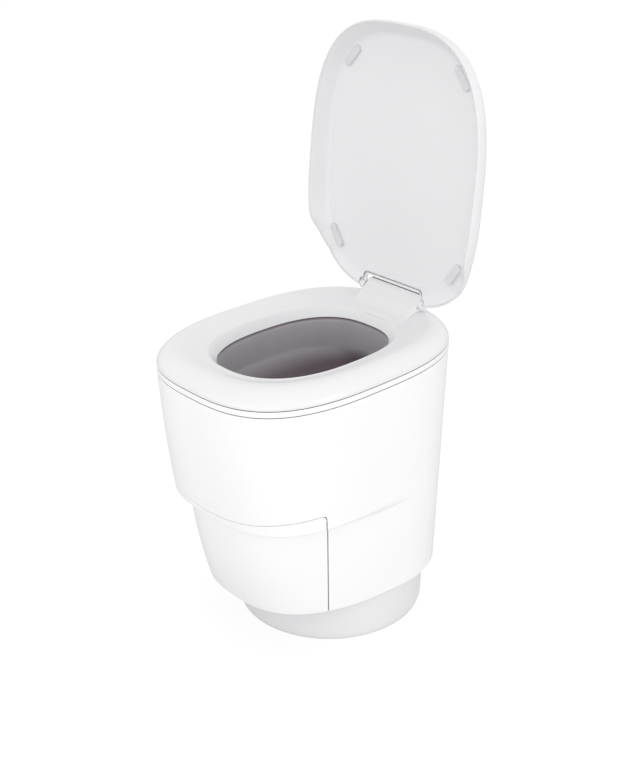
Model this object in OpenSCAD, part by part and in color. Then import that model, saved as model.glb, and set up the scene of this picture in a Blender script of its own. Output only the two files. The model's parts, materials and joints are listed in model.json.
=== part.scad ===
// Waterless toilet that seals waste in a film liner, shown with its lid open.
// Origin: centre of the pedestal on the floor. Front is -Y, the sitter's left is +X, up is +Z.

/* [Outline] */
// Width of the seat and casing at the top seam
seat_w = 376.4; // [340:0.2:452]
// Reach of the casing in front of the pedestal's centre
front_reach = 297.7; // [280:0.1:358]
// Reach of the casing behind the pedestal's centre
rear_reach = 197.5; // [190:0.1:237]
// Place of the widest point along the length
widest_y = -54.7; // [-90:0.1:-20]
// Squareness of the outline in front, where 2 is an ellipse
front_n = 2.88; // [2.4:0.01:3.4]
// Squareness of the outline behind
rear_n = 2.76; // [2.4:0.01:3.4]

/* [Heights] */
// Height of the seam under the seat
seam_z = 505.6; // [440:0.1:607]
// Height of the casing's lower edge
base_z = 86; // [75:1:104]
// Height of the edge where the upper barrel overhangs the lower body
lip_z = 274; // [228:1:329]
// Height of the band between the two seams
band_h = 10.5; // [8:0.1:13]
// Width of every visible seam
seam = 0.8; // [0.6:0.1:1.2]

/* [Casing] */
// Wall of the casing and the drawer front
wall = 3.6; // [3:0.1:4.4]
// How far the nose has drawn back at the overhang
nose_draft = 18.9; // [12:0.1:24]
// How far the rear draws in at the lower edge
rear_draft = 21.7; // [15:0.1:26]
// How far each side draws in at the lower edge
side_draft = 6.2; // [4:0.1:9]
// Reach of the lower body at the lower edge
toe_reach = 228.7; // [190:0.1:250]
// Reach of the lower body right under the overhang
shin_reach = 264; // [220:0.1:270]
// Height of the drawer front at its middle
drawer_top_z = 283; // [279:1:340]
// Rise of the drawer front's upper edge at its corners
drawer_rise = 17; // [0:1:24]
// Sum of half width and y at the drawer front's slanted side seams
drawer_side = 8; // [0:1:20]

/* [Seat] */
// Height of the seat above the seam
seat_h = 28.9; // [24:0.1:40]
// Inward reach of the seat's outer rounding, up to its crest
seat_round = 25.7; // [20:0.1:32]
// Depth of the dish between the crest and the crease round the opening
seat_dish = 11.9; // [6:0.1:15]
// Reach of the slope that falls from the crease into the opening
seat_roll = 11.7; // [8:0.1:15]
// Half width of the seat's opening
hole_half_w = 110.3; // [84:0.1:122]
// Front end of the opening
hole_front = 211.6; // [170:0.1:220]
// Rear end of the opening
hole_rear = 95.4; // [71:0.1:105]
// Place of the opening's widest point along the length
hole_widest_y = -59.9; // [-80:0.1:-30]
// Wall of the seat moulding
seat_wall = 3.4; // [2.8:0.1:4]

/* [Lid] */
// Width of the lid at its rim
lid_w = 386; // [350:0.5:463]
// Height of the lid's dome above its rim
lid_h = 36.2; // [30:0.1:43]
// Depth of the inner panel below the rim
lid_recess = 27.9; // [20:0.1:30]
// Wall of the lid's shell
lid_wall = 3; // [2.4:0.1:3.4]
// Angle of the lid as it stands open
lid_open = 94; // [85:1:100]
// Distance of the lid's axis behind the pedestal's centre
axis_y = 154.3; // [150:0.1:158]
// Height of the lid's axis above the seam
axis_rise = 40.6; // [39:0.1:42]
// Half width of the hinge block in the lid's notch
block_half_w = 66.5; // [56:0.5:79]
// Radius of the lid's hinge pins
lid_pin_r = 3; // [2.5:0.1:3.2]
// Radius of the lid's knuckles
knuckle_r = 8; // [7:0.1:8.5]

/* [Pedestal] */
// Radius of the pedestal
pedestal_r = 171; // [150:1:205]
// Wall of the pedestal
pedestal_wall = 5; // [4:0.5:6]
// Radius of the swivel hub
hub_r = 40; // [34:1:48]
// Radius of the circle of floor bolts
floor_bolt_ring = 145; // [125:1:150]
// Radius of each floor bolt hole
floor_bolt_r = 4.25; // [3.5:0.05:5.1]

/* [Sealing unit] */
// Half width of the sealing frame
unit_half_w = 66; // [60:1:79]
// Front end of the sealing frame
unit_front = 262; // [240:1:264]
// Rear end of the sealing frame
unit_rear = 152; // [140:1:158]
// Opening of each jaw from the middle
jaw_gap = 32; // [26:1:34]
// Thickness of each jaw
jaw_t = 22; // [18:1:24]
// Height of each jaw
jaw_h = 30; // [25:1:36]
// Radius of the guide rods and lead screws
rod_r = 5; // [4.2:0.1:6]
// Radius of the film rollers
roller_r = 10; // [9:0.1:11]
// Teeth of each roller gear
gear_teeth = 23; // [21:2:25]

/* [Waste drawer] */
// Half width of the waste bin
bin_half_w = 136; // [114:1:138]
// Rear end of the waste bin
bin_rear = 108; // [90:1:112]
// Wall of the waste bin
bin_wall = 2.4; // [2:0.1:3]
// Height of the drawer runners above the lower edge
runner_rise = 54; // [45:1:65]

/* [Fits] */
// Radial clearance of every turning or sliding fit
run_gap = 0.05; // [0.02:0.01:0.1]
// Clearance between loose neighbours
gap = 0.3; // [0.2:0.05:0.5]

/* [Hidden] */
$fn = 64;
eps = 0.02;
steps = 28;

seat_z = seam_z + seam / 2;
band_z = seam_z - seam / 2 - band_h;
casing_top = band_z - seam;
top_z = seam_z + seat_h;
axis_z = seam_z + axis_rise;

rim_sec = [seat_w / 2, -front_reach, widest_y, rear_reach, front_n, rear_n];
hole_sec = [hole_half_w, -hole_front, hole_widest_y, hole_rear, 2.35, 2.57];
hole_edge_z = seam_z - 0.5;

function mix(a, b, k) = a + (b - a) * k;
function ease(k) = let (c = min(1, max(0, k))) c * c * (3 - 2 * c);
function inset(s, d) = [s[0] - d, s[1] + d, s[2], s[3] - d, s[4], s[5]];
function half_w(y, s) =
    let (front = y < s[2],
         n = front ? s[4] : s[5],
         u = front ? (s[2] - y) / (s[2] - s[1]) : (y - s[2]) / (s[3] - s[2]))
    u >= 1 ? 0 : s[0] * pow(1 - pow(max(u, 0), n), 1 / n);
function spread(y0, y1) = [for (i = [0:steps]) y0 + (y1 - y0) * (1 - cos(180 * i / steps)) / 2];
function both_sides(ys, xs, zs) =
    concat([for (i = [0:steps]) [i == 0 || i == steps ? 0 : xs[i], ys[i], zs[i]]],
           [for (i = [steps - 1:-1:1]) [-xs[i], ys[i], zs[i]]]);
function ring(s, z) =
    let (ys = spread(s[1], s[3]))
    both_sides(ys, [for (y = ys) half_w(y, s)], [for (y = ys) z]);
function flat(s) = [for (p = ring(s, 0)) [p[0], p[1]]];

// Solid through a list of rings, closed by caps, or for an endless wall by joining the last ring to the first
module loft(rings, endless = false) {
    n = len(rings[0]);
    m = len(rings);
    sides = [for (i = [0:endless ? m - 1 : m - 2], j = [0:n - 1])
        let (a = i * n + j, b = ((i + 1) % m) * n + j,
             c = ((i + 1) % m) * n + (j + 1) % n, d = i * n + (j + 1) % n)
        each [[a, b, c], [a, c, d]]];
    caps = endless ? [] : [[for (j = [0:n - 1]) j], [for (j = [n - 1:-1:0]) (m - 1) * n + j]];
    polyhedron([for (r = rings) each r], concat(sides, caps), convexity = 8);
}

module slab(s, z0, z1) translate([0, 0, z0]) linear_extrude(z1 - z0) polygon(flat(s));
module rod_x(r, x0, x1, y, z) translate([x0, y, z]) rotate([0, 90, 0]) cylinder(r = r, h = x1 - x0);
module rod_y(r, y0, y1, x, z) translate([x, y0, z]) rotate([-90, 0, 0]) cylinder(r = r, h = y1 - y0);
module rod_z(r, z0, z1, x, y) translate([x, y, z0]) cylinder(r = r, h = z1 - z0);
module block(x0, x1, y0, y1, z0, z1) translate([x0, y0, z0]) cube([x1 - x0, y1 - y0, z1 - z0]);
module stadium(l, w, h) {
    translate([-(l - w) / 2, -w / 2, 0]) cube([l - w, w, h]);
    for (s = [-1, 1]) translate([s * (l - w) / 2, 0, 0]) cylinder(d = w, h = h);
}
module each_side() {
    children();
    mirror([1, 0, 0]) children();
}

// Casing: the tapering upper barrel, and the lower body that draws back under the overhang
belly = nose_draft - 6.5;
overhang_t = (casing_top - lip_z) / (casing_top - base_z);
function upper_sec(z) =
    let (t = (casing_top - z) / (casing_top - base_z), u = t / overhang_t)
    [seat_w / 2 - side_draft * t, min(-front_reach + 6.5 * u + belly * u * u, lower_sec(z)[1] - 5),
     widest_y + rear_draft * t, rear_reach - rear_draft * t, front_n, rear_n];
function lower_sec(z) =
    let (s = (z - base_z) / (lip_z - base_z), rise = shin_reach - toe_reach)
    [seat_w / 2 - side_draft - 3.1 + 4.6 * s, -toe_reach - rise * (1.6 * s - 0.6 * s * s),
     0.425 * rear_reach, rear_reach, 2.72, 2.72];
lip_soft = 13;
function casing_ring(z, d = 0) =
    let (up = inset(upper_sec(z), d),
         low = inset(lower_sec(z), d),
         k = ease((z - lip_z + lip_soft) / lip_soft),
         front = [for (i = [0:5]) mix(low[i], up[i], k)],
         ys = spread(front[1], up[3]))
    both_sides(ys, [for (y = ys) min(half_w(y, up), half_w(y, front))], [for (y = ys) z]);
function plan(z, d) = [for (p = casing_ring(z, d)) [p[0], p[1]]];
casing_levels = [base_z + 5, 150, 205, 240, lip_z - lip_soft, lip_z - 9, lip_z - 5, lip_z - 2, lip_z,
                 lip_z + 4, 340, 400, 450];
function level_rings(d) =
    [for (z = casing_levels) if (z > base_z + 2 && z < casing_top - 1) casing_ring(z, d)];
module casing_outside() {
    loft(concat([casing_ring(base_z, 1.6), casing_ring(base_z + 1.8, 0.4)], level_rings(0),
                [casing_ring(casing_top - 1, 0), casing_ring(casing_top, 0.6)]));
}
module casing_inside() {
    loft(concat([casing_ring(base_z - 1, wall)], level_rings(wall), [casing_ring(casing_top + 1, wall)]));
}
// Space of the drawer front: slanted sides in plan, and an upper edge that rises towards its corners
module drawer_space(grow) {
    reach = front_reach + 60;
    side = drawer_side + grow * sqrt(2);
    corner_x = seat_w / 2 - 22;
    edge = [for (i = [-10:10]) let (x = i / 10 * (corner_x + 30))
        [x, drawer_top_z + grow + drawer_rise * pow(abs(x) / corner_x, 1.4)]];
    intersection() {
        translate([0, 0, base_z - 20]) linear_extrude(lip_z + 80 - base_z)
            polygon([[0, side], [-reach - side, -reach], [reach + side, -reach]]);
        rotate([90, 0, 0]) linear_extrude(reach)
            polygon(concat([[corner_x + 30, base_z - 10], [-corner_x - 30, base_z - 10]], edge));
    }
}
gland_z = base_z + 34;
gland_r = 8;
gland_y = upper_sec(gland_z)[3];
module body_shell() color("white") difference() {
    casing_outside();
    casing_inside();
    drawer_space(seam / 2);
    rod_y(gland_r + gap, gland_y - 30, gland_y + 20, 0, gland_z);
}
module drawer_front() color("white") difference() {
    intersection() {
        casing_outside();
        drawer_space(-seam / 2);
    }
    casing_inside();
}

// Pedestal, which is bolted to the floor and carries the casing on a swivel
foot_top = base_z - 3;
foot_plate = 6;
foot_flange = 6;
foot_inner = pedestal_r - pedestal_wall;
flange_inner = floor_bolt_ring - 13;
rubber_r = floor_bolt_ring + 13;
rubber_w = 6;
rubber_h = 3;
glide_r = floor_bolt_ring - 15;
access_r = 9;
module pedestal_foot() color("whitesmoke") difference() {
    rotate_extrude($fn = 128) polygon([
        [flange_inner, 0], [pedestal_r - 2.5, 0], [pedestal_r - 0.7, 5], [pedestal_r, 14],
        [pedestal_r, foot_top - 3], [pedestal_r - 3, foot_top], [hub_r + run_gap, foot_top],
        [hub_r + run_gap, foot_top - foot_plate], [foot_inner, foot_top - foot_plate],
        [foot_inner, foot_flange], [flange_inner, foot_flange]]);
    translate([0, 0, -eps]) rotate_extrude($fn = 96) translate([rubber_r, 0])
        square([rubber_w, rubber_h + eps]);
    for (a = [45:90:315]) rotate(a) {
        rod_z(floor_bolt_r, -1, foot_flange + 1, floor_bolt_ring, 0);
        rod_z(access_r, foot_top - foot_plate - 1, foot_top + 1, floor_bolt_ring, 0);
    }
}
module foot_rubber_ring() color("dimgray") rotate_extrude($fn = 96)
    translate([rubber_r + gap, 0]) square([rubber_w - 2 * gap, rubber_h]);
module glide_ring() color("gainsboro") rotate_extrude($fn = 96)
    translate([glide_r - 18, foot_top]) square([18, base_z - foot_top]);

// Chassis, with the hub that turns in the pedestal
chassis_t = 4;
floor_z = base_z + chassis_t;
hub_bottom = foot_top - foot_plate - 0.4;
hub_bore = hub_r - 12;
retainer_t = 4;
retainer_screws = 3;
screw_r = 2;
module retainer_holes(r, z0, z1) for (a = [30:360 / retainer_screws:359]) rotate(a)
    rod_z(r, z0, z1, hub_r - 6, 0);
foot_screws_y = [-50, 15, 80];
frame_t = 3.5;
cassette_out = 25;
frame_back = 100;
frame_front = -70;
frame_x = min((hole_half_w + cassette_out + seat_w / 2 - side_draft - wall) / 2 - 1.3,
              half_w(frame_back, inset(upper_sec(base_z), wall)) - frame_t - 1,
              half_w(frame_front, inset(lower_sec(base_z), wall)) - frame_t - 2);
flange_w = 12;
module frame_holes(r, z0, z1) for (y = foot_screws_y) each_side() rod_z(r, z0, z1, frame_x - flange_w / 2, y);
module chassis_plate() color("silver") difference() {
    union() {
        translate([0, 0, base_z]) linear_extrude(chassis_t) polygon(plan(base_z, wall + 0.5));
        rod_z(hub_r, hub_bottom, base_z + eps, 0, 0);
    }
    rod_z(hub_bore, hub_bottom - 1, floor_z + 1, 0, 0);
    retainer_holes(screw_r + run_gap, hub_bottom - 1, hub_bottom + 12);
    frame_holes(screw_r + run_gap, base_z - 1, floor_z + 1);
}
module swivel_retainer() color("silver") difference() {
    rod_z(hub_r + 12, hub_bottom - retainer_t, hub_bottom, 0, 0);
    rod_z(hub_bore, hub_bottom - retainer_t - 1, hub_bottom + 1, 0, 0);
    retainer_holes(screw_r + run_gap, hub_bottom - retainer_t - 1, hub_bottom + 1);
}
module swivel_screws() color("gray") {
    retainer_holes(screw_r, hub_bottom - retainer_t - eps, hub_bottom + 10);
    retainer_holes(2 * screw_r, hub_bottom - retainer_t - 2.5, hub_bottom - retainer_t);
}

// Side frames, which carry the seat band above and the sealing unit on their arms
unit_top = seam_z - 133.6;
unit_bottom = seam_z - 187.6;
arm_t = 6;
arm_y = [[-60, -40], [70, 90]];
rail_wall = 4;
module side_frame() {
    difference() {
        union() {
            block(frame_x, frame_x + frame_t, frame_front, frame_back, floor_z, band_z);
            block(frame_x, frame_x + flange_w, frame_front, frame_back - 25, band_z - 3, band_z);
            block(frame_x - flange_w, frame_x + eps, frame_front, frame_back, floor_z, floor_z + 3);
            for (y = arm_y)
                block(unit_half_w - 8, frame_x + eps, y[0], y[1], unit_bottom - arm_t, unit_bottom);
        }
        for (y = foot_screws_y) rod_z(screw_r + run_gap, floor_z - 1, floor_z + 4, frame_x - flange_w / 2, y);
        for (y = [-25, 55]) rod_x(22, frame_x - 1, frame_x + frame_t + 1, y, band_z - 60);
        for (y = [-25, 55]) rod_x(22, frame_x - 1, frame_x + frame_t + 1, y, floor_z + 120);
    }
}
module left_side_frame() color("silver") mirror([1, 0, 0]) side_frame();
module right_side_frame() color("silver") side_frame();
module frame_screws() color("gray") {
    frame_holes(screw_r, floor_z - 3, floor_z + 3 + eps);
    frame_holes(2 * screw_r, floor_z + 3, floor_z + 5);
}

// Band between the two seams, with the lower knuckles of the seat's hinge
hinge_y = rear_reach + 2.5;
hinge_z = seam_z;
hinge_r = 5;
hinge_pin_r = 2.5;
band_knuckle = [30, 44.7];
seat_knuckle = [45.3, 60];
cassette_lip = 32;
module hinge_relief(span) each_side() rod_x(hinge_r + 0.6, span[0] - 0.5, span[1] + 0.5, hinge_y, hinge_z);
module seat_band() color("white") difference() {
    union() {
        difference() {
            slab(rim_sec, band_z, band_z + band_h);
            slab(inset(hole_sec, -cassette_out - 1.5), band_z - 1, band_z + band_h + 1);
            hinge_relief(seat_knuckle);
        }
        difference() {
            slab(inset(upper_sec(band_z), wall + 0.9), band_z - 9, band_z + eps);
            slab(inset(upper_sec(band_z), wall + 3.9), band_z - 10, band_z + 1);
        }
        each_side() {
            rod_x(hinge_r, band_knuckle[0], band_knuckle[1], hinge_y, hinge_z);
            block(band_knuckle[0], band_knuckle[1], rear_reach - 9, hinge_y, band_z + 1, band_z + band_h - 1);
        }
    }
    each_side() rod_x(hinge_pin_r + eps, band_knuckle[0] - 1, band_knuckle[1] + 1, hinge_y, hinge_z);
}
module seat_hinge_pins() color("silver")
    each_side() rod_x(hinge_pin_r, band_knuckle[0] - 1, seat_knuckle[1] + 1, hinge_y, hinge_z);

// Liner cassette, its packed film, and the film that hangs from it through the funnel
cassette_top = seam_z + 1.6;
cassette_bottom = seam_z - 53.6;
cassette_wall = 2;
cassette_in = 4.5;
module cassette_shell(d_out, d_in, z0, z1) difference() {
    slab(inset(hole_sec, -d_out), z0, z1);
    slab(inset(hole_sec, -d_in), z0 - 1, z1 + 1);
}
module liner_cassette() color("lightgray") difference() {
    union() {
        cassette_shell(cassette_out, cassette_in, cassette_bottom, cassette_top);
        cassette_shell(cassette_lip, cassette_in, seam_z - 0.4, cassette_top);
    }
    cassette_shell(cassette_out - cassette_wall, cassette_in + cassette_wall,
                   cassette_bottom + 2, cassette_top - 2);
}
module film_pack() color("rosybrown") cassette_shell(cassette_out - cassette_wall - gap,
    cassette_in + cassette_wall + gap, cassette_bottom + 2, cassette_top - 13);

rods_y = [-unit_front + 34, unit_rear - 36];
slit_front = -rods_y[0] - rod_r - 1;
slit_rear = rods_y[1] - rod_r - 1;
function film_sec(hw, k) = [hw, mix(-hole_front - 0.6, -slit_front, k), hole_sec[2],
                            mix(hole_rear + 0.6, slit_rear, k), hole_sec[4], hole_sec[5]];
gather = [[unit_top + 4, film_sec(9, 0.97)], [unit_top + 28, film_sec(42, 0.75)],
          [unit_top + 58, film_sec(84, 0.35)]];
film_path = concat(gather, [[cassette_bottom, film_sec(hole_half_w - 1.4, 0)],
                            [hole_edge_z - 9, inset(hole_sec, -0.8)],
                            [hole_edge_z - 0.5, inset(hole_sec, gap - cassette_in)]]);
film_t = 0.9;
film_flat = 1.2;
film_end = seam_z - 219.6;
module liner_film() color("rosybrown") loft(concat(
    [ring(film_sec(film_flat, 1), film_end), ring(film_sec(film_flat, 1), unit_top - 6)],
    [for (p = film_path) ring(p[1], p[0])],
    [for (i = [len(film_path) - 1:-1:0]) let (p = film_path[i])
        ring(inset(p[1], film_t), p[0] + (i == len(film_path) - 1 ? 0 : 0.4))]));
funnel_t = 2.5;
funnel_gap = 2.2;
funnel_path = concat(gather, [[cassette_bottom - 0.5, film_sec(hole_half_w - 1.2, 0)]]);
module funnel_cone(d, over) loft(concat(
    [ring(inset(funnel_path[0][1], -d), funnel_path[0][0] - over)],
    [for (p = funnel_path) ring(inset(p[1], -d), p[0] + eps)],
    [ring(inset(funnel_path[3][1], -d), funnel_path[3][0] + over + 2 * eps)]));
module film_funnel() color("gainsboro") difference() {
    union() {
        funnel_cone(funnel_gap + funnel_t, 0);
        each_side()
            block(hole_half_w - 3, frame_x - gap, -50, 30, cassette_bottom - 5, cassette_bottom - 0.5);
    }
    funnel_cone(funnel_gap, 1);
}

// Sealing unit: a long frame whose two jaws close on the film, driven by two coupled lead screws
jaw_z = unit_top - 27;
screws_y = [-unit_front + 17, unit_rear - 18];
journal_r = rod_r - 1;
roller_x = roller_r + 1.5;
roller_z = unit_bottom - 22;
roller_journal = 4;
plate_t = 6;
module sealing_frame() color("silver") difference() {
    union() {
        each_side()
            block(unit_half_w - rail_wall, unit_half_w, -unit_front, unit_rear, unit_bottom, unit_top);
        block(-unit_half_w, unit_half_w, -unit_front, -unit_front + plate_t, roller_z - 16, unit_top);
        block(-unit_half_w, unit_half_w, unit_rear - plate_t, unit_rear, roller_z - 16, unit_top);
    }
    for (y = rods_y) rod_x(rod_r + eps, -unit_half_w - 1, unit_half_w + 1, y, jaw_z);
    for (y = screws_y) rod_x(journal_r + run_gap, -unit_half_w - 1, unit_half_w + 1, y, jaw_z);
    for (x = [-roller_x, roller_x])
        rod_y(roller_journal + run_gap, -unit_front - 1, unit_rear + 1, x, roller_z);
}
module guide_rods() color("lightgray") for (y = rods_y) rod_x(rod_r, -unit_half_w, unit_half_w, y, jaw_z);
strip_t = 1.2;
jaw_y = [-unit_front + plate_t + 4, unit_rear - plate_t - 4];
strip_y = [-slit_front - 0.5, slit_rear + 0.5];
module jaw() difference() {
    block(jaw_gap, jaw_gap + jaw_t, jaw_y[0], jaw_y[1], jaw_z - jaw_h / 2, jaw_z + jaw_h / 2);
    for (y = rods_y) rod_x(rod_r + run_gap, jaw_gap - 1, jaw_gap + jaw_t + 1, y, jaw_z);
    for (y = screws_y) rod_x(rod_r + run_gap, jaw_gap - 1, jaw_gap + jaw_t + 1, y, jaw_z);
}
module left_jaw() color("dimgray") mirror([1, 0, 0]) jaw();
module right_jaw() color("dimgray") jaw();
module heat_strip() color("peru")
    block(-jaw_gap, -jaw_gap + strip_t, strip_y[0], strip_y[1], jaw_z - 3, jaw_z + 3);
module press_pad() color("firebrick")
    block(jaw_gap - strip_t, jaw_gap, strip_y[0], strip_y[1], jaw_z - 6, jaw_z + 6);
pulley_r = 9;
pulley_x = [unit_half_w + 2, unit_half_w + 10];
belt_t = 1.5;
screw_end = unit_half_w + 14;
module lead_screw(y) {
    inner = unit_half_w - rail_wall - 0.5;
    rod_x(rod_r, -inner, inner, y, jaw_z);
    rod_x(journal_r, -unit_half_w, screw_end, y, jaw_z);
}
module pulley(y) difference() {
    union() {
        rod_x(pulley_r, pulley_x[0], pulley_x[1], y, jaw_z);
        rod_x(pulley_r + 2.5, pulley_x[0], pulley_x[0] + 1, y, jaw_z);
        rod_x(pulley_r + 2.5, pulley_x[1] - 1, pulley_x[1], y, jaw_z);
    }
    rod_x(journal_r + eps, pulley_x[0] - 1, pulley_x[1] + 1, y, jaw_z);
}
module front_lead_screw() color("lightgray") lead_screw(screws_y[0]);
module rear_lead_screw() color("lightgray") lead_screw(screws_y[1]);
module front_pulley() color("gray") pulley(screws_y[0]);
module rear_pulley() color("gray") pulley(screws_y[1]);
module belt_body(r, x0, x1) {
    for (y = screws_y) rod_x(r, x0, x1, y, jaw_z);
    block(x0, x1, screws_y[0], screws_y[1], jaw_z - r, jaw_z + r);
}
module drive_belt() color("black") difference() {
    belt_body(pulley_r + run_gap + belt_t, pulley_x[0] + 1.3, pulley_x[1] - 1.3);
    belt_body(pulley_r + run_gap, pulley_x[0], pulley_x[1]);
}
motor_r = 15;
motor_len = 38;
module seal_motor() color("darkgray") difference() {
    union() {
        rod_x(motor_r, screw_end - 4, screw_end - 4 + motor_len, screws_y[1], jaw_z);
        block(screw_end - 4, screw_end - 1, screws_y[1] - 26, screws_y[1] + 14,
              unit_bottom + 2, unit_top - 2);
        for (z = [unit_bottom + 7, unit_top - 7])
            rod_x(3, unit_half_w, screw_end - 3, screws_y[1] - 20, z);
    }
    rod_x(journal_r + run_gap, screw_end - 5, screw_end + 1, screws_y[1], jaw_z);
}
gear_w = 6;
gear_y = unit_rear + 1;
roller_end = gear_y + gear_w + 4;
module film_roller(x) {
    rod_y(roller_r, -unit_front + 30, unit_rear - 30, x, roller_z);
    rod_y(roller_journal, -unit_front, roller_end, x, roller_z);
}
tooth = [[-1.6, -0.9], [0, -0.62], [0.8, -0.28], [0.8, 0.28], [0, 0.62], [-1.6, 0.9]];
module roller_gear(x) translate([x, gear_y, roller_z]) rotate([-90, 0, 0]) difference() {
    m = 2 * roller_x / gear_teeth;
    union() {
        cylinder(r = roller_x - 1.3 * m, h = gear_w);
        for (i = [0:gear_teeth - 1]) rotate(i * 360 / gear_teeth) linear_extrude(gear_w)
            polygon([for (p = tooth) [roller_x + p[0] * m, p[1] * m]]);
    }
    translate([0, 0, -1]) cylinder(r = roller_journal + eps, h = gear_w + 2);
}
module left_roller() color("slategray") film_roller(-roller_x);
module right_roller() color("slategray") film_roller(roller_x);
module left_roller_gear() color("ivory") roller_gear(-roller_x);
module right_roller_gear() color("ivory") roller_gear(roller_x);
module roller_motor() color("darkgray") difference() {
    plate_y = roller_end - 3;
    union() {
        rod_y(13, plate_y, plate_y + 20, -roller_x, roller_z);
        block(-roller_x - 27, -roller_x + 14, plate_y, plate_y + 2, roller_z - 14, roller_z + 14);
        for (z = [-9, 9]) rod_y(3, unit_rear, plate_y + 1, -roller_x - 22.5, roller_z + z);
    }
    rod_y(roller_journal + run_gap, plate_y - 1, roller_end + 1, -roller_x, roller_z);
}

// Electronics on the right side frame, and the gland for a supply cable
board = [[-55, 35], [seam_z - 165, seam_z - 65]];
module control_board() color("darkgreen") {
    x0 = frame_x + frame_t;
    block(x0 + 4, x0 + 5.6, board[0][0], board[0][1], board[1][0], board[1][1]);
    for (y = [board[0][0] + 5, board[0][1] - 5], z = [board[1][0] + 5, board[1][1] - 5])
        rod_x(3, x0, x0 + 5, y, z);
    block(x0 + 5, x0 + 9, -40, -20, seam_z - 120, seam_z - 95);
    block(x0 + 5, x0 + 8, 0, 25, seam_z - 150, seam_z - 132);
    block(x0 + 5, x0 + 7.5, -10, 10, seam_z - 105, seam_z - 90);
}
cable_r = 4;
module cable_gland() color("dimgray") difference() {
    union() {
        rod_y(gland_r, gland_y - 18, gland_y + 7, 0, gland_z);
        rod_y(gland_r + 4, gland_y + 0.7, gland_y + 4.5, 0, gland_z);
        rod_y(gland_r + 4, gland_y - wall - 6, gland_y - wall - 0.7, 0, gland_z);
    }
    rod_y(cable_r, gland_y - 19, gland_y + 8, 0, gland_z);
}

// Waste drawer: the front, its tray on two runners, and the bin that lifts out of the tray
tray_z = base_z + 12;
tray_t = 2.5;
tray_half_w = bin_half_w + gap + 2.2;
tray_rear = bin_rear + gap + 2.2;
bin_top = unit_bottom - 56;
runner_z = base_z + runner_rise;
runner_h = 24;
slide_y = [-120, tray_rear];
module bin_outline(d, extra) intersection() {
    polygon(plan(base_z, d));
    translate([-bin_half_w - extra, -500]) square([2 * (bin_half_w + extra), 500 + bin_rear + extra]);
}
module drawer_tray() color("lightgray") {
    translate([0, 0, tray_z]) linear_extrude(tray_t) bin_outline(wall + 0.5, tray_half_w - bin_half_w);
    each_side()
        block(bin_half_w + gap, tray_half_w, slide_y[0], tray_rear, tray_z + eps, runner_z + runner_h / 2);
    each_side() block(64, 68, -toe_reach + 12.5, -toe_reach + 21, tray_z + eps, tray_z + 60);
}
module waste_bin() color("gainsboro") {
    bin_z = tray_z + tray_t;
    difference() {
        union() {
            translate([0, 0, bin_z]) linear_extrude(bin_top - bin_z) bin_outline(22, 0);
            translate([0, 0, bin_top - 5]) linear_extrude(5) bin_outline(20, 2);
        }
        translate([0, 0, bin_z + 3]) linear_extrude(bin_top) bin_outline(22 + bin_wall, -bin_wall);
    }
}
module drawer_slides() color("silver") each_side()
    block(tray_half_w, tray_half_w + 9.5, slide_y[0], tray_rear - 10, runner_z - runner_h / 2 + 2.9,
          runner_z + runner_h / 2 - 2.9);
module drawer_rails() color("gray") each_side() difference() {
    union() {
        block(tray_half_w + 3, tray_half_w + 12, slide_y[0] - 5, tray_rear - 10, runner_z - runner_h / 2,
              runner_z + runner_h / 2);
        block(tray_half_w + 12 - eps, frame_x, frame_front + 5, frame_back - 5, runner_z - 8, runner_z + 8);
    }
    block(tray_half_w + 2, tray_half_w + 10, slide_y[0] - 6, tray_rear - 9, runner_z - runner_h / 2 + 2.3,
          runner_z + runner_h / 2 - 2.3);
}
module catch_striker() color("silver")
    block(-10, 10, tray_rear, tray_rear + 2, tray_z, tray_z + 18);
module drawer_catch() color("dimgray") difference() {
    block(-16, 16, tray_rear + 2 + gap, tray_rear + 18, floor_z, tray_z + 20);
    block(-8, 8, tray_rear + 8, tray_rear + 19, floor_z + 6, tray_z + 12);
}

// Seat: a hollow moulding whose edge rounds over to a crest, dips in a dish, and falls into the opening
function seat_ring(k, z) = ring([for (i = [0:5]) mix(rim_sec[i], hole_sec[i], k)], z);
flange = seat_w / 2 - hole_half_w;
crest_k = seat_round / flange;
crease_k = 1 - seat_roll / flange;
round_z = seat_z + 2;
crease_z = top_z - seat_dish;
round_power = 1.235;
// Rings of the surface that lies d under the seat's top, from the rim to the slope round the opening
function seat_rings(d, slope) = let (dk = d / flange) concat(
    [for (a = [0:15:90]) seat_ring(dk + (crest_k - dk) * (1 - pow(cos(a), round_power)),
                                   round_z + (top_z - round_z - d) * pow(sin(a), round_power))],
    [for (t = [0.2:0.2:1]) seat_ring(mix(crest_k, crease_k - 0.42 * dk, t), top_z - d - seat_dish * ease(t))],
    [for (t = slope) seat_ring(mix(crease_k, 1, t) - 0.85 * dk,
                               mix(crease_z, hole_edge_z, pow(t, 1.3)) - 0.5 * d)]);
lip_sec = inset(hole_sec, 0.4 - cassette_in);
module seat_body() {
    under = seat_rings(seat_wall, [0.25, 0.6]);
    loft(concat(
        [seat_ring(0.012, seat_z), seat_ring(0, seat_z + 1.2)],
        seat_rings(0, [0.2:0.2:1]),
        [ring(lip_sec, hole_edge_z), ring(lip_sec, cassette_top + 0.8)],
        [for (i = [len(under) - 1:-1:1]) under[i]],
        [seat_ring(seat_wall / flange, seat_z)]), endless = true);
}
// All that lies more than d under the seat's top
module under_seat(d) loft(concat([seat_ring(d / flange, seat_z - 1)], seat_rings(d, [0.25, 0.6]),
                                 [ring(inset(hole_sec, -seat_roll / 2), hole_edge_z + 1)]));
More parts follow.
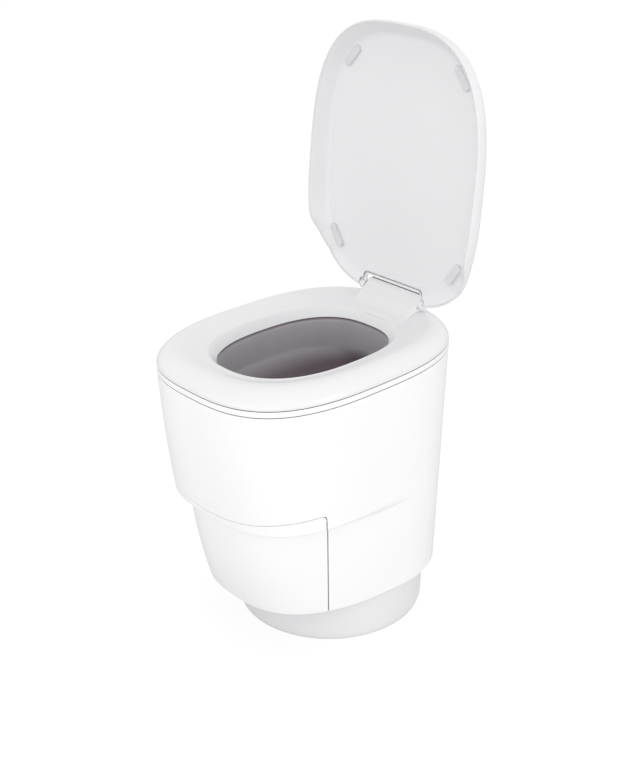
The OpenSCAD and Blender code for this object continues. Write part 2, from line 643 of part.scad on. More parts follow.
// Hinge block: a ramp that climbs from the dish to its top edge behind the lid's axis
block_top = [axis_y + 9.2, axis_z + 15];
ramp = [[axis_y - 46, seat_z + 4], [axis_y - 44, top_z - 13.5], [axis_y - 39, top_z - 10.6],
        [axis_y - 33.3, top_z - 8.2], [axis_y - 28.3, top_z - 4.7], [axis_y - 23, top_z],
        [axis_y - 16, top_z + 6.2], [axis_y - 7, top_z + 12.3], [axis_y - 0.3, top_z + 17.4],
        [axis_y + 5.2, top_z + 22.6],
        block_top, [block_top[0] + 2.2, block_top[1] + 0.4], [block_top[0] + 4.2, block_top[1] - 1.2],
        [axis_y + 16, axis_z + 7], [axis_y + 17, seat_z + 4]];
button_l = 36;
button_w = 6;
button_t = 4;
button_pocket = 9.5;
button_travel = 1.5;
button_tilt = 42;
button_at = [axis_y + 5.6, top_z + 22.9];
button_proud = 0.8;
module at_button() translate([0, button_at[0], button_at[1]]) rotate([button_tilt, 0, 0]) children();
buffer_at = [[max(150 / 376.4 * seat_w, hole_half_w + cassette_lip + 9.5), -80], [120 / 376.4 * seat_w, 105]];
module buffers(r, z0, z1) for (p = buffer_at) each_side() rod_z(r, z0, z1, p[0], p[1]);
module seat() color("white") difference() {
    union() {
        seat_body();
        difference() {
            rotate([90, 0, 90]) linear_extrude(2 * block_half_w, center = true) polygon(ramp);
            under_seat(seat_wall - 1);
        }
        intersection() {
            buffers(8, seat_z + 3, top_z);
            under_seat(1);
        }
        each_side() {
            rod_x(hinge_r, seat_knuckle[0], seat_knuckle[1], hinge_y, hinge_z);
            block(seat_knuckle[0], seat_knuckle[1], rear_reach - 4, hinge_y, seat_z, seat_z + 4.5);
        }
    }
    hinge_relief(band_knuckle);
    each_side() {
        rod_x(hinge_pin_r + run_gap, seat_knuckle[0] - 1, seat_knuckle[1] + 1, hinge_y, hinge_z);
        rod_x(lid_pin_r + run_gap, pin_span[0] - 0.5, block_half_w + 1, axis_y, axis_z);
        rod_x(knuckle_r + 1, block_half_w + 0.3, knuckle_span[1] + 0.7, axis_y, axis_z);
    }
    buffers(3 + eps, seat_z, seat_z + 9);
    at_button() translate([0, 0, -button_pocket]) stadium(button_l + 2 * gap, button_w + 2 * gap, 20);
}
module seat_buffers() color("gray") {
    buffers(3, seat_z + 2, seat_z + 9);
    buffers(6, band_z + band_h, seat_z + 3);
}
module start_button() color("gainsboro") at_button() {
    translate([0, 0, button_proud - button_t]) stadium(button_l, button_w, button_t);
    translate([0, 0, button_proud - button_t - 2]) cylinder(r = 1.2, h = 2 + eps);
}
module button_switch() color("black") at_button() translate([0, 0, -button_pocket])
    stadium(14, button_w - 1, button_pocket + button_proud - button_t - 2 - button_travel - gap);

// Lid, drawn closed and then swung open about its axis
pin_span = [block_half_w - 9, block_half_w + 9];
knuckle_span = [block_half_w + 0.7, block_half_w + 9.5];
lid_rim_z = seam_z + 9.5;
lid_top_z = lid_rim_z + lid_h;
panel_z = lid_rim_z + lid_recess;
lid_sec = [lid_w / 2, -front_reach - 3.4, widest_y + 10, axis_y + 5.7, 2.9, 2.95];
notch_y = axis_y - 19.9;
lip_t = 3.4;
lip_x = knuckle_span[0] + lip_t;
// The rim is level in front and sweeps up behind, where it would meet the seat as the lid opens
function rim_at(y) = lid_rim_z - 4 * ease((y + 150) / 180) * (1 - ease((y - 30) / 60))
    + min(23, 0.365 * max(0, y - 46) * ease((y - 30) / 50));
module open_lid() translate([0, axis_y, axis_z]) rotate([-lid_open, 0, 0])
    translate([0, -axis_y, -axis_z]) children();
function lid_ring(d, f, top) =
    let (s = inset(lid_sec, d), ys = spread(s[1], s[3]))
    both_sides(ys, [for (y = ys) half_w(y, s)], [for (y = ys) mix(rim_at(y), top, f)]);
dome = [[0, 0], [0.3, 0.2], [1.8, 0.42], [5.5, 0.66], [11.5, 0.84], [20, 0.95], [31, 1]];
under_dome = [[lid_wall, 0], [lid_wall + 0.5, 0.25], [lid_wall + 2.6, 0.5], [lid_wall + 7.5, 0.74],
              [lid_wall + 14, 0.89], [lid_wall + 22, 0.97], [lid_wall + 31, 1]];
crown = [[75, 1.6], [118, 2.4]];
module lid_shell() color("white") open_lid() difference() {
    union() {
        difference() {
            loft(concat(
                [for (i = [1:-1:0])
                    ring(inset(lid_sec, crown[i][0] + lid_wall), lid_top_z + crown[i][1] - lid_wall)],
                [for (i = [len(under_dome) - 1:-1:0])
                    lid_ring(under_dome[i][0], under_dome[i][1], lid_top_z - lid_wall)],
                [for (p = dome) lid_ring(p[0], p[1], lid_top_z)],
                [for (c = crown) ring(inset(lid_sec, c[0]), lid_top_z + c[1])]));
            block(-knuckle_span[0], knuckle_span[0], notch_y, axis_y + 60, lid_rim_z - 10, lid_top_z + 10);
        }
        block(-lip_x, lip_x, notch_y - lip_t, notch_y, panel_z + 2, lid_top_z - 1);
        each_side() {
            block(knuckle_span[0], lip_x, notch_y - 1, axis_y - 2, panel_z + 2, lid_top_z - 1.5);
            rod_x(knuckle_r, knuckle_span[0], knuckle_span[1], axis_y, axis_z);
        }
    }
    each_side() rod_x(lid_pin_r + eps, knuckle_span[0] - 1, pin_span[1], axis_y, axis_z);
}
liner = [[lid_wall + 0.6, 0], [lid_wall + 2.4, 0.3], [lid_wall + 7, 0.6], [lid_wall + 14, 0.83],
         [lid_wall + 23, 0.96], [lid_wall + 34, 1]];
function under_dome_z(d, y) = mix(rim_at(y), lid_top_z - lid_wall, lookup(d, under_dome));
function liner_ring(p, upper) =
    let (s = inset(lid_sec, p[0]), ys = spread(s[1], s[3]),
         low = [for (y = ys) mix(rim_at(y) + 1, max(panel_z, rim_at(y) + 2), p[1])])
    both_sides(ys, [for (y = ys) half_w(y, s)],
               [for (i = [0:steps]) upper ? min(low[i] + 2.2, under_dome_z(p[0], ys[i]) - 0.4) : low[i]]);
module liner_body() loft(concat(
    [for (i = [len(liner) - 1:-1:0]) liner_ring(liner[i], false)],
    [for (p = liner) liner_ring(p, true)]));
module lid_liner() color("whitesmoke") open_lid() difference() {
    liner_body();
    block(-lip_x - lip_t, lip_x + lip_t, notch_y - 2 * lip_t, axis_y + 60, lid_rim_z - 10, lid_top_z);
    block(-seat_w, seat_w, notch_y + 4, axis_y + 60, lid_rim_z - 10, lid_top_z);
}
// Everything above the inner panel, which trims the tops of the pads
module above_liner() loft(concat(
    [for (i = [len(liner) - 1:-1:0]) liner_ring(liner[i], false)],
    [ring(inset(lid_sec, liner[0][0]), panel_z + 5)]));
pads = [[123, -232, 49], [141, 80, 123]];
module lid_bumpers() color("lightgray") open_lid() difference() {
    each_side() for (p = pads) translate([p[0] * lid_w / 386, p[1], top_z + 0.4]) rotate(p[2])
        stadium(44, 14, panel_z - top_z - 0.4);
    above_liner();
}
module lid_hinge_pins() color("silver") open_lid() each_side()
    rod_x(lid_pin_r, pin_span[0], pin_span[1], axis_y, axis_z);

pedestal_foot();
foot_rubber_ring();
glide_ring();
chassis_plate();
swivel_retainer();
swivel_screws();
body_shell();
left_side_frame();
right_side_frame();
frame_screws();
seat_band();
seat_hinge_pins();
liner_cassette();
film_pack();
liner_film();
film_funnel();
sealing_frame();
guide_rods();
left_jaw();
heat_strip();
right_jaw();
press_pad();
front_lead_screw();
rear_lead_screw();
front_pulley();
rear_pulley();
drive_belt();
seal_motor();
left_roller();
right_roller();
left_roller_gear();
right_roller_gear();
roller_motor();
control_board();
cable_gland();
drawer_front();
drawer_tray();
waste_bin();
drawer_slides();
drawer_rails();
drawer_catch();
catch_striker();
seat();
seat_buffers();
start_button();
button_switch();
lid_shell();
lid_liner();
lid_bumpers();
lid_hinge_pins();
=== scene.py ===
import json
import math
import bpy
import numpy as np
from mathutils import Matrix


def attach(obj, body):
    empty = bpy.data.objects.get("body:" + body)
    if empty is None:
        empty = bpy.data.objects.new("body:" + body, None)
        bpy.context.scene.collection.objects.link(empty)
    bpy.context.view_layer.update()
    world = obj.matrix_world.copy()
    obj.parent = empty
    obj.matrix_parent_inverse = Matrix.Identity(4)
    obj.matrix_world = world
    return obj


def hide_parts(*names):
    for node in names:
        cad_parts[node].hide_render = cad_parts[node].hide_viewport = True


# Looks of a waterless toilet with its lid open. Lengths in the dictionaries are millimetres, in the
# frame of the model: front is -Y, up is +Z, and the origin is the pedestal's centre on the floor.

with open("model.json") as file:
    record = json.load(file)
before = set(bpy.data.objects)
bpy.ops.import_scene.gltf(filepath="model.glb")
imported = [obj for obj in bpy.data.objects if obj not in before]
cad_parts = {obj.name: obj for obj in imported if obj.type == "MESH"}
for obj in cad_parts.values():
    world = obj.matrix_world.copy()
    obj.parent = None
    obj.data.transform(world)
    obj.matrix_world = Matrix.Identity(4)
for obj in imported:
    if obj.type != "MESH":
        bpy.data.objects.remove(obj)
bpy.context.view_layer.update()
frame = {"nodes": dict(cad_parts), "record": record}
mm = 0.001
print("frame loaded,", len(frame["nodes"]), "nodes")


# Outlines and small sums

quarterTurns = [math.pi / 2 * k / 4 for k in range(5)]  # steps round a rolled edge


def mix(a, b, k):
    return a + (b - a) * k


def ease(k):
    k = np.clip(k, 0, 1)
    return k * k * (3 - 2 * k)


def softMin(a, b, reach):
    return np.minimum(a, b) - np.maximum(reach - np.abs(a - b), 0) ** 2 / (4 * reach)


def arch(t, power=2.0):  # quarter of a superellipse, 0 at 0 and flat at 1
    return (1 - (1 - np.clip(t, 0, 1)) ** power) ** (1 / power)


def through(xs, ys, x):  # smooth curve through points that never overshoots them
    xs, ys = np.array(xs, float), np.array(ys, float)
    steps = np.diff(ys) / np.diff(xs)
    slopes = np.concatenate([[steps[0]], np.where(steps[:-1] * steps[1:] > 0,
                             2 * steps[:-1] * steps[1:] / (steps[:-1] + steps[1:] + 1e-12), 0), [steps[-1]]])
    i = np.clip(np.searchsorted(xs, x) - 1, 0, len(xs) - 2)
    gap = xs[i + 1] - xs[i]
    t = (np.clip(x, xs[0], xs[-1]) - xs[i]) / gap
    return ((1 + 2 * t) * (1 - t) ** 2 * ys[i] + t * (1 - t) ** 2 * gap * slopes[i]
            + t * t * (3 - 2 * t) * ys[i + 1] + t * t * (t - 1) * gap * slopes[i + 1])


class Section:  # outline made of two half superellipses that meet at the widest place
    def __init__(self, half, front, widest, rear, frontPower, rearPower):
        self.values = np.array([half, front, widest, rear, frontPower, rearPower], float)

    def inset(self, d):
        return Section(*(self.values - np.array([d, -d, 0, d, 0, 0])))

    def towards(self, other, k):
        return Section(*mix(self.values, other.values, k))

    def width(self, y):
        half, front, widest, rear, frontPower, rearPower = self.values
        u = np.where(y < widest, (widest - y) / (widest - front), (y - widest) / (rear - widest))
        n = np.where(y < widest, frontPower, rearPower)
        return half * np.maximum(1 - np.clip(u, 0, 1) ** n, 0) ** (1 / n)


def loop(width, front, rear, count, samples=3001):  # closed outline in even steps, from the front round by +X
    y = mix(front, rear, (1 - np.cos(np.linspace(0, math.pi, samples))) / 2)
    x = width(y)
    x[0] = x[-1] = 0
    run = np.concatenate([[0], np.cumsum(np.hypot(np.diff(x), np.diff(y)))])
    at = np.linspace(0, run[-1], count + 1)
    right = np.column_stack([np.interp(at, run, x), np.interp(at, run, y)])
    return np.vstack([right, (right * [-1, 1])[-2:0:-1]])


def ring(section, z, count):  # z is a number or a function of y
    plan = loop(section.width, section.values[1], section.values[3], count)
    return np.column_stack([plan, z(plan[:, 1]) if callable(z) else np.full(len(plan), z)])


# Surfaces: a surface is its points, faces that run anticlockwise seen from outside, and its normals

def gridSurface(rows, closedRows=False, fan=False):
    points = np.array(rows)
    count, columns = points.shape[:2]
    along = np.roll(points, -1, 1) - np.roll(points, 1, 1)
    if closedRows:
        across = np.roll(points, -1, 0) - np.roll(points, 1, 0)
    else:
        across = np.gradient(points, axis=0)
    normals = np.cross(along, across)
    normals /= np.linalg.norm(normals, axis=2, keepdims=True) + 1e-12
    index = np.arange(count * columns).reshape(count, columns)
    upper = np.roll(index, -1, 0) if closedRows else index[1:]
    lower = index if closedRows else index[:-1]
    faces = np.stack([lower, np.roll(lower, -1, 1), np.roll(upper, -1, 1), upper], -1)
    faces = faces.reshape(-1, 4).tolist()
    points, normals = points.reshape(-1, 3), normals.reshape(-1, 3)
    if fan:
        centre = points[-columns:].mean(0)
        last = index[-1]
        faces += [[int(last[i]), int(last[(i + 1) % columns]), len(points)] for i in range(columns)]
        points, normals = np.vstack([points, centre]), np.vstack([normals, normals[-columns:].mean(0)])
    return points, faces, normals


def capped(rows):  # closed solid between the first outline and the last
    points, faces, _ = gridSurface(rows)
    size = len(rows[0])
    last = len(points) - size
    return points, faces + [list(range(size))[::-1], [last + i for i in range(size)]]


def openEdges(faces):  # leads from each point of an open rim to the next
    directed = {pair: None for face in faces for pair in zip(face, face[1:] + face[:1])}
    return {a: b for a, b in directed if (b, a) not in directed}


def cutSurface(surface, field):  # keeps the side on which the field is above 0, with its edge on the line
    points, faces, normals = surface
    points = points.copy()
    value = field(points)
    edges = {tuple(sorted(pair)) for face in faces for pair in zip(face, face[1:] + face[:1])}
    edges |= {tuple(sorted(pair)) for face in faces if len(face) == 4 for pair in (face[::2], face[1::2])}
    edges = np.array([e for e in edges if value[e[0]] * value[e[1]] < 0])
    if len(edges):
        a, b = edges.T
        share = value[a] / (value[a] - value[b])
        near, far = np.where(share < 0.5, a, b), np.where(share < 0.5, b, a)
        share = np.minimum(share, 1 - share)
        shifted = {}
        for n in np.argsort(-share):
            shifted[near[n]] = points[near[n]] + share[n] * (points[far[n]] - points[near[n]])
        for i, place in shifted.items():
            points[i] = place
            value[i] = 0
    kept = []
    for face in faces:
        signs = [value[i] for i in face]
        if max(signs) <= 0:
            continue
        if min(signs) >= 0:
            kept.append(face)
        elif len(face) == 4:
            for tri in ([0, 1, 2], [0, 2, 3]) if signs[0] == signs[2] == 0 else ([1, 2, 3], [1, 3, 0]):
                if min(signs[i] for i in tri) >= 0 and max(signs[i] for i in tri) > 0:
                    kept.append([face[i] for i in tri])
    used = sorted({i for face in kept for i in face})
    place = {old: new for new, old in enumerate(used)}
    return points[used], [[place[i] for i in face] for face in kept], normals[used]


def thicken(surface, thickness, radius, steps=4, short=0.3):  # shell with edges rolled outwards by radius
    points, faces, normals = surface
    count = len(points)
    following = openEdges(faces)
    before = {b: a for a, b in following.items()}
    edge = sorted(following)
    rim = np.array(edge)
    t = points[[following[i] for i in edge]] - points[[before[i] for i in edge]]
    out = np.cross(t, normals[rim])
    out /= np.linalg.norm(out, axis=1, keepdims=True) + 1e-12
    rings = [rim]
    places = [points, points - normals * thickness]
    for step in range(1, steps + 1):
        a = math.pi / 2 * step / steps
        rings.append(2 * count + (step - 1) * len(rim) + np.arange(len(rim)))
        places.append(points[rim] + radius * (out * math.sin(a) - normals[rim] * (1 - math.cos(a))))
    rings.append(2 * count + steps * len(rim) + np.arange(len(rim)))
    places.append(points[rim] + radius * out - normals[rim] * (thickness - radius * short))
    rings.append(rim + count)
    slot = {i: n for n, i in enumerate(edge)}
    made = faces + [[i + count for i in reversed(face)] for face in faces]
    for first, second in zip(rings, rings[1:]):
        for i, n in slot.items():
            m = slot[following[i]]
            made.append([int(first[m]), int(first[n]), int(second[n]), int(second[m])])
    return np.vstack(places), made


def joined(*solids):
    points, faces = [], []
    for p, f in solids:
        base = sum(len(x) for x in points)
        points.append(np.asarray(p, float))
        faces += [[i + base for i in face] for face in f]
    return np.vstack(points), faces


def roundBar(r, x0, x1, y, z, edge, segments=48):  # barrel along X with rounded ends
    angles = np.linspace(0, 2 * math.pi, segments, endpoint=False)
    start = [(r - edge + edge * math.sin(a), x0 + edge - edge * math.cos(a)) for a in quarterTurns]
    profile = start + [(a, x0 + x1 - b) for a, b in reversed(start)]
    return capped([np.column_stack([np.full(segments, x), y + np.cos(angles) * radius,
                                    z + np.sin(angles) * radius]) for radius, x in profile])


def stadium(length, width, z, count=12):  # outline with round ends at one height
    ends = np.linspace(-math.pi / 2, math.pi / 2, count)
    right = np.column_stack([(length - width) / 2 + np.cos(ends) * width / 2, np.sin(ends) * width / 2])
    return np.column_stack([np.vstack([right, -right]), np.full(2 * count, z)])


def roundedPad(length, width, low, high, edge, crown, steps=5):  # upright pad whose top edge is rounded
    rows = [stadium(length, width, low)]
    for k in range(steps + 1):
        a = math.pi / 2 * k / steps
        d = edge * (1 - math.cos(a))
        rows.append(stadium(length - 2 * d, width - 2 * d, high - edge + edge * math.sin(a)))
    d = edge + (width / 2 - edge) * 0.6
    rows.append(stadium(length - 2 * d, width - 2 * d, high + crown))
    points, faces, _ = gridSurface(rows, fan=True)
    return points, faces + [list(range(len(rows[0])))[::-1]]


def sweep(path, normals, half, low, high, edge):  # strip with rounded edges along a path in plan
    corners = []
    for start, side, z in ((180, -1, low), (270, 1, low), (0, 1, high), (90, -1, high)):
        centre = z + (edge if z == low else -edge)
        for a in quarterTurns:
            turn = math.radians(start) + a
            corners.append((side * (half - edge) + edge * math.cos(turn), centre + edge * math.sin(turn)))
    path, normals = np.array(path), np.array(normals)
    return capped([[np.array([*(p + n * s), z]) for s, z in corners] for p, n in zip(path, normals)])


def moved(solid, change):
    return change(np.asarray(solid[0], float)), solid[1]


def mirrored(solid):
    return np.asarray(solid[0], float) * [-1, 1, 1], [face[::-1] for face in solid[1]]


def tilted(points, degrees, y, z):  # turned about X at the origin, then carried to y and z
    a = math.radians(degrees)
    px, py, pz = np.asarray(points).T
    return np.column_stack([px, y + py * math.cos(a) - pz * math.sin(a),
                            z + py * math.sin(a) + pz * math.cos(a)])


def piece(name, solid, body, slot, replaced=(), sharp=40):
    points, faces = solid
    mesh = bpy.data.meshes.new(name)
    mesh.from_pydata((np.asarray(points) * mm).tolist(), [], faces)
    mesh.validate()
    mesh.shade_smooth()
    mesh.set_sharp_from_angle(angle=math.radians(sharp))
    made = bpy.data.objects.new(name, mesh)
    bpy.context.scene.collection.objects.link(made)
    made.data.materials.append(finishes[slot])
    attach(made, body)
    if replaced:
        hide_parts(*replaced)


# Camera, at the photograph's place

cameraPlace = {"at": (1.45309, -1.34242, 1.35663), "azimuth": 46.66, "elevation": 29.55,
               "focus": 1257.77, "centre": (340.95, 477.75), "image": (619, 768), "sensor": 36}


def makeCamera():
    data = bpy.data.cameras.new("camera")
    width, height = cameraPlace["image"]
    data.sensor_width = cameraPlace["sensor"]
    data.lens = cameraPlace["focus"] / height * cameraPlace["sensor"]
    data.shift_x = (width / 2 - cameraPlace["centre"][0]) / height
    data.shift_y = (cameraPlace["centre"][1] - height / 2) / height
    made = bpy.data.objects.new("camera", data)
    bpy.context.scene.collection.objects.link(made)
    made.location = cameraPlace["at"]
    made.rotation_euler = (math.radians(90 - cameraPlace["elevation"]), 0,
                           math.radians(cameraPlace["azimuth"]))
    bpy.context.scene.camera = made


makeCamera()


# Shader maths

class Value:  # a socket that takes part in sums
    def __init__(self, tree, socket):
        self.tree, self.socket = tree, socket

    def sum(self, operation, a, b):
        node = self.tree.nodes.new("ShaderNodeMath")
        node.operation = operation
        for place, item in enumerate((a, b)):
            if isinstance(item, Value):
                self.tree.links.new(item.socket, node.inputs[place])
            else:
                node.inputs[place].default_value = item
        return Value(self.tree, node.outputs[0])

    def __add__(self, other):
        return self.sum("ADD", self, other)

    def __sub__(self, other):
        return self.sum("SUBTRACT", self, other)

    def __rsub__(self, other):
        return self.sum("SUBTRACT", other, self)

    def __mul__(self, other):
        return self.sum("MULTIPLY", self, other)

    def __pow__(self, other):
        return self.sum("POWER", self, other)

    __radd__, __rmul__ = __add__, __mul__


class Finish:  # one material and its node tree
    def __init__(self, name, **base):
        self.material = bpy.data.materials.new(name)
        self.material.use_nodes = True
        self.tree = self.material.node_tree
        self.shader = self.tree.nodes["Principled BSDF"]
        self.feed(self.shader, base)

    def feed(self, node, inputs):
        for key, item in inputs.items():
            socket = node.inputs[key if isinstance(key, int) else key.replace("_", " ")]
            if isinstance(item, Value):
                self.tree.links.new(item.socket, socket)
            else:
                socket.default_value = item

    def node(self, kind, settings=None, inputs=None, out=0):
        node = self.tree.nodes.new("ShaderNode" + kind)
        for key, item in (settings or {}).items():
            if key == "stops":
                ramp = node.color_ramp.elements
                for n, (at, tone) in enumerate(item):
                    stop = ramp[n] if n < 2 else ramp.new(at)
                    stop.position, stop.color = at, (tone, tone, tone, 1)
            else:
                setattr(node, key, item)
        self.feed(node, inputs or {})
        return Value(self.tree, node.outputs[out])

    def place(self, scale=(1, 1, 1)):  # the surface's own coordinates, in metres
        return self.node("Mapping", None, {"Vector": self.node("TexCoord", out="Object"), "Scale": scale})

    def noise(self, scale, detail=2.0, stretch=(1, 1, 1)):
        return self.node("TexNoise", None, {"Vector": self.place(stretch), "Scale": scale, "Detail": detail})

    def tint(self, mask, first, second):
        return self.node("Mix", {"data_type": "RGBA"}, {0: mask, 6: (*first, 1), 7: (*second, 1)}, out=2)

    def bump(self, height, depth, strength=1.0):
        return self.node("Bump", None, {"Height": height, "Distance": depth, "Strength": strength})

    def done(self, **inputs):
        self.feed(self.shader, inputs)
        return self.material


def shade(colour, k):
    return tuple(c * k for c in colour)


def mouldedGloss(name, colour, rough=0.3, coat=0.12):  # polished moulding with a faint ripple
    f = Finish(name, Coat_Roughness=0.12, IOR=1.5)
    cloud, fine = f.noise(9, 3), f.noise(900, 2)
    ripple = f.noise(60, 2)
    return f.done(Base_Color=f.tint(cloud, shade(colour, 0.985), shade(colour, 1.01)),
                  Roughness=rough - 0.03 + cloud * 0.04 + fine * 0.03, Coat_Weight=coat,
                  Normal=f.bump(ripple * 0.7 + fine * 0.06, 0.00003))


def mouldedMatt(name, colour, rough=0.5, grain=700, depth=0.00005):  # fine spark-eroded grain
    f = Finish(name, IOR=1.48)
    cloud, fine = f.noise(7, 3), f.noise(grain, 3)
    return f.done(Base_Color=f.tint(cloud * 0.7 + fine * 0.3, shade(colour, 0.97), shade(colour, 1.02)),
                  Roughness=rough - 0.04 + fine * 0.08, Normal=f.bump(fine, depth))


def coatedSteel(name, colour):  # powder coat with a fine orange peel
    f = Finish(name, IOR=1.5)
    peel, cloud = f.noise(420, 3), f.noise(14, 2)
    return f.done(Base_Color=f.tint(cloud, shade(colour, 0.94), shade(colour, 1.04)),
                  Roughness=0.36 + peel * 0.12, Metallic=0.25 + cloud * 0.1, Normal=f.bump(peel, 0.00008))


def groundSteel(name, colour, stretch=(12, 900, 900), rough=0.22):  # grinding lines along the piece
    f = Finish(name)
    lines, cloud = f.noise(1, 4, stretch), f.noise(40, 2)
    return f.done(Base_Color=f.tint(lines, shade(colour, 0.86), shade(colour, 1.08)), Metallic=1.0,
                  Roughness=rough + lines * 0.16 + cloud * 0.05, Normal=f.bump(lines, 0.00003))


def softRubber(name, colour, rough=0.62):
    f = Finish(name, IOR=1.45)
    dust, fine = f.noise(30, 4), f.noise(1200, 2)
    return f.done(Base_Color=f.tint(dust, shade(colour, 0.94), shade(colour, 1.07)),
                  Roughness=rough - 0.05 + fine * 0.1, Normal=f.bump(fine, 0.00004))


def barrierFilm(name, colour, shadedTone, low, high, mouth):  # thin film, with painted shade that darkens it towards the bottom of the funnel and a painted shadow just under the seat's lip
    f = Finish(name, IOR=1.45, Sheen_Weight=0.1)
    height = f.node("SeparateXYZ", None, {0: f.place()}, out=2)
    # painted shade below the heights low to high, and a painted shadow above mouth, under the seat's lip
    up = f.node("MapRange", {"interpolation_type": "SMOOTHSTEP"}, {0: height, 1: low, 2: high})
    up = up * f.node("MapRange", None, {0: height, 1: mouth, 2: mouth + 0.004, 3: 1.0, 4: 0.1})
    waves, cloud, fine = f.noise(1, 2, (26, 26, 3)), f.noise(10, 2), f.noise(500, 2)
    return f.done(Base_Color=f.tint(up * (0.86 + cloud * 0.18 + waves * 0.1), shadedTone, colour),
                  Roughness=0.4 + cloud * 0.08, Normal=f.bump(waves + fine * 0.02, 0.0011))


def wovenTape(name, colour):  # plain weave, a thread every 0.7 mm
    f = Finish(name, IOR=1.4)
    threads = {"Vector": f.place(), "Scale": 450.0, "Distortion": 0.2}
    warp, weft = (f.node("TexWave", {"bands_direction": way}, threads) for way in "YZ")
    weave = warp * 0.5 + weft * 0.5
    return f.done(Base_Color=f.tint(weave, shade(colour, 0.7), shade(colour, 1.15)),
                  Roughness=0.75 - weave * 0.15, Normal=f.bump(weave, 0.0001))


def toothedBelt(name, colour):
    f = Finish(name, IOR=1.45)
    teeth = f.node("TexWave", {"bands_direction": "Y"}, {"Vector": f.place(), "Scale": 100.0})
    fine = f.noise(900, 2)
    return f.done(Base_Color=f.tint(teeth, shade(colour, 0.7), shade(colour, 1.6)),
                  Roughness=0.55 + fine * 0.12, Normal=f.bump(teeth, 0.0004))


def circuitBoard(name, colour):  # lacquer over copper tracks
    f = Finish(name, IOR=1.5)
    bricks = f.node("TexBrick", {"offset": 0.37},
                    {"Vector": f.node("Mapping", None, {"Vector": f.node("TexCoord", out="Object"),
                                                        "Rotation": (0, math.pi / 2, 0)}),
                     "Scale": 60.0, "Mortar_Size": 0.012}, out="Fac")
    fine = f.noise(600, 2)
    return f.done(Base_Color=f.tint(bricks, colour, shade(colour, 2.4)), Roughness=0.28 + fine * 0.1,
                  Normal=f.bump(bricks, 0.00006))


def turnedCan(name, colour):  # plated can with faint rings round it
    f = Finish(name)
    rings, cloud = f.noise(1, 3, (500, 8, 8)), f.noise(50, 3)
    return f.done(Base_Color=f.tint(rings, shade(colour, 0.9), shade(colour, 1.1)), Metallic=0.85,
                  Roughness=0.3 + cloud * 0.15, Normal=f.bump(rings, 0.00003))


# Painted shade: the seat and lid are the casing's white plastic, drawn greyer to stand for the lesser light
# that falls on them
white = {"casing": (0.93, 0.93, 0.932), "seat": (0.8, 0.801, 0.81), "lid": (0.81, 0.812, 0.823),
         "foot": (0.8, 0.8, 0.81), "bumper": (0.69, 0.693, 0.705)}
finishes = {
    "casing_white": mouldedGloss("satinCasing", white["casing"]),
    "seat_white": mouldedGloss("satinSeat", white["seat"], 0.34),
    "lid_white": mouldedGloss("satinLid", white["lid"], 0.34),
    "pedestal_white": mouldedMatt("mattPedestal", white["foot"], 0.45),
    "bumper_grey": softRubber("paleRubber", white["bumper"]),
    "rubber_dark": softRubber("darkRubberAndShade", (0.03, 0.03, 0.032)),
    "glide_plastic": mouldedMatt("glideNylon", (0.6, 0.6, 0.56), 0.4),
    "frame_steel": coatedSteel("greyCoat", (0.35, 0.36, 0.38)),
    "bright_steel": groundSteel("groundRod", (0.6, 0.6, 0.62)),
    "screw_steel": groundSteel("zincScrew", (0.5, 0.5, 0.5), (300, 300, 300), 0.3),
    "cassette_grey": mouldedMatt("cassetteMoulding", (0.16, 0.15, 0.16), 0.45),
    # the film's second colour is the painted shade deep in the funnel; the last height starts the painted
    # shadow under the seat's lip
    "film_mauve": barrierFilm("mauveFilm", (0.44, 0.425, 0.44), (0.13, 0.098, 0.12), 0.422, 0.458, 0.4985),
    "funnel_grey": mouldedMatt("funnelMoulding", (0.42, 0.42, 0.43)),
    "jaw_dark": groundSteel("anodisedJaw", (0.09, 0.09, 0.1), (600, 6, 600), 0.35),
    "strip_brown": wovenTape("releaseTape", (0.3, 0.16, 0.07)),
    "pad_red": softRubber("siliconePad", (0.32, 0.04, 0.025)),
    "belt_black": toothedBelt("toothedBelt", (0.015, 0.015, 0.016)),
    "motor_steel": turnedCan("motorCan", (0.3, 0.31, 0.32)),
    "gear_cream": mouldedMatt("acetalGear", (0.72, 0.66, 0.52), 0.35),
    "board_green": circuitBoard("lacqueredBoard", (0.01, 0.07, 0.03)),
    "gland_dark": mouldedMatt("darkNylon", (0.025, 0.025, 0.027), 0.45),
    "bin_grey": mouldedMatt("binMoulding", (0.42, 0.43, 0.45), 0.42),
    "key_grey": mouldedGloss("paleKey", (0.83, 0.83, 0.84), 0.28),
}
for part in frame["record"]["subparts"]:
    node = frame["nodes"][part["node"]]
    node.data.materials.clear()
    node.data.materials.append(finishes[part["material_slot"]])
    node.data.shade_smooth()
    node.data.set_sharp_from_angle(angle=math.radians(30))
print("finishes made,", len(finishes))


# Casing and drawer front: the upper barrel hangs over the lower body, and one surface holds both

# The barrel is the upper part, with its nose in front, and the shin is the drawn-back part below
casing = {"halfWidth": 188.2, "front": -297.7, "widest": -54.7, "rear": 197.5, "frontPower": 2.88,
          "rearPower": 2.76, "top": 493.8, "base": 86, "lip": 274, "lipSoft": 13, "noseDraft": 18.9,
          "noseLean": 6.5, "rearDraft": 21.7, "sideDraft": 6.2, "toe": 228.7, "shin": 264, "shinBow": 0.6,
          "shinInset": 3.1, "shinFlare": 4.6, "shinWidest": 0.425, "shinPower": 2.72, "merge": 2.5,
          "wall": 3.6, "edge": 0.55, "columns": 330, "bodyStep": 3.0, "lipStep": 1.0, "seamStep": 2.4,
          "upperLevels": 30}
drawer = {"seam": 1.3, "top": 283, "rise": 17, "riseReach": 22, "risePower": 1.4, "side": 8, "corner": 8}
gland = {"z": 120, "radius": 8.3}
outOfReach = 50  # what a field says where it has no line
rimSection = Section(casing["halfWidth"], casing["front"], casing["widest"], casing["rear"],
                     casing["frontPower"], casing["rearPower"])


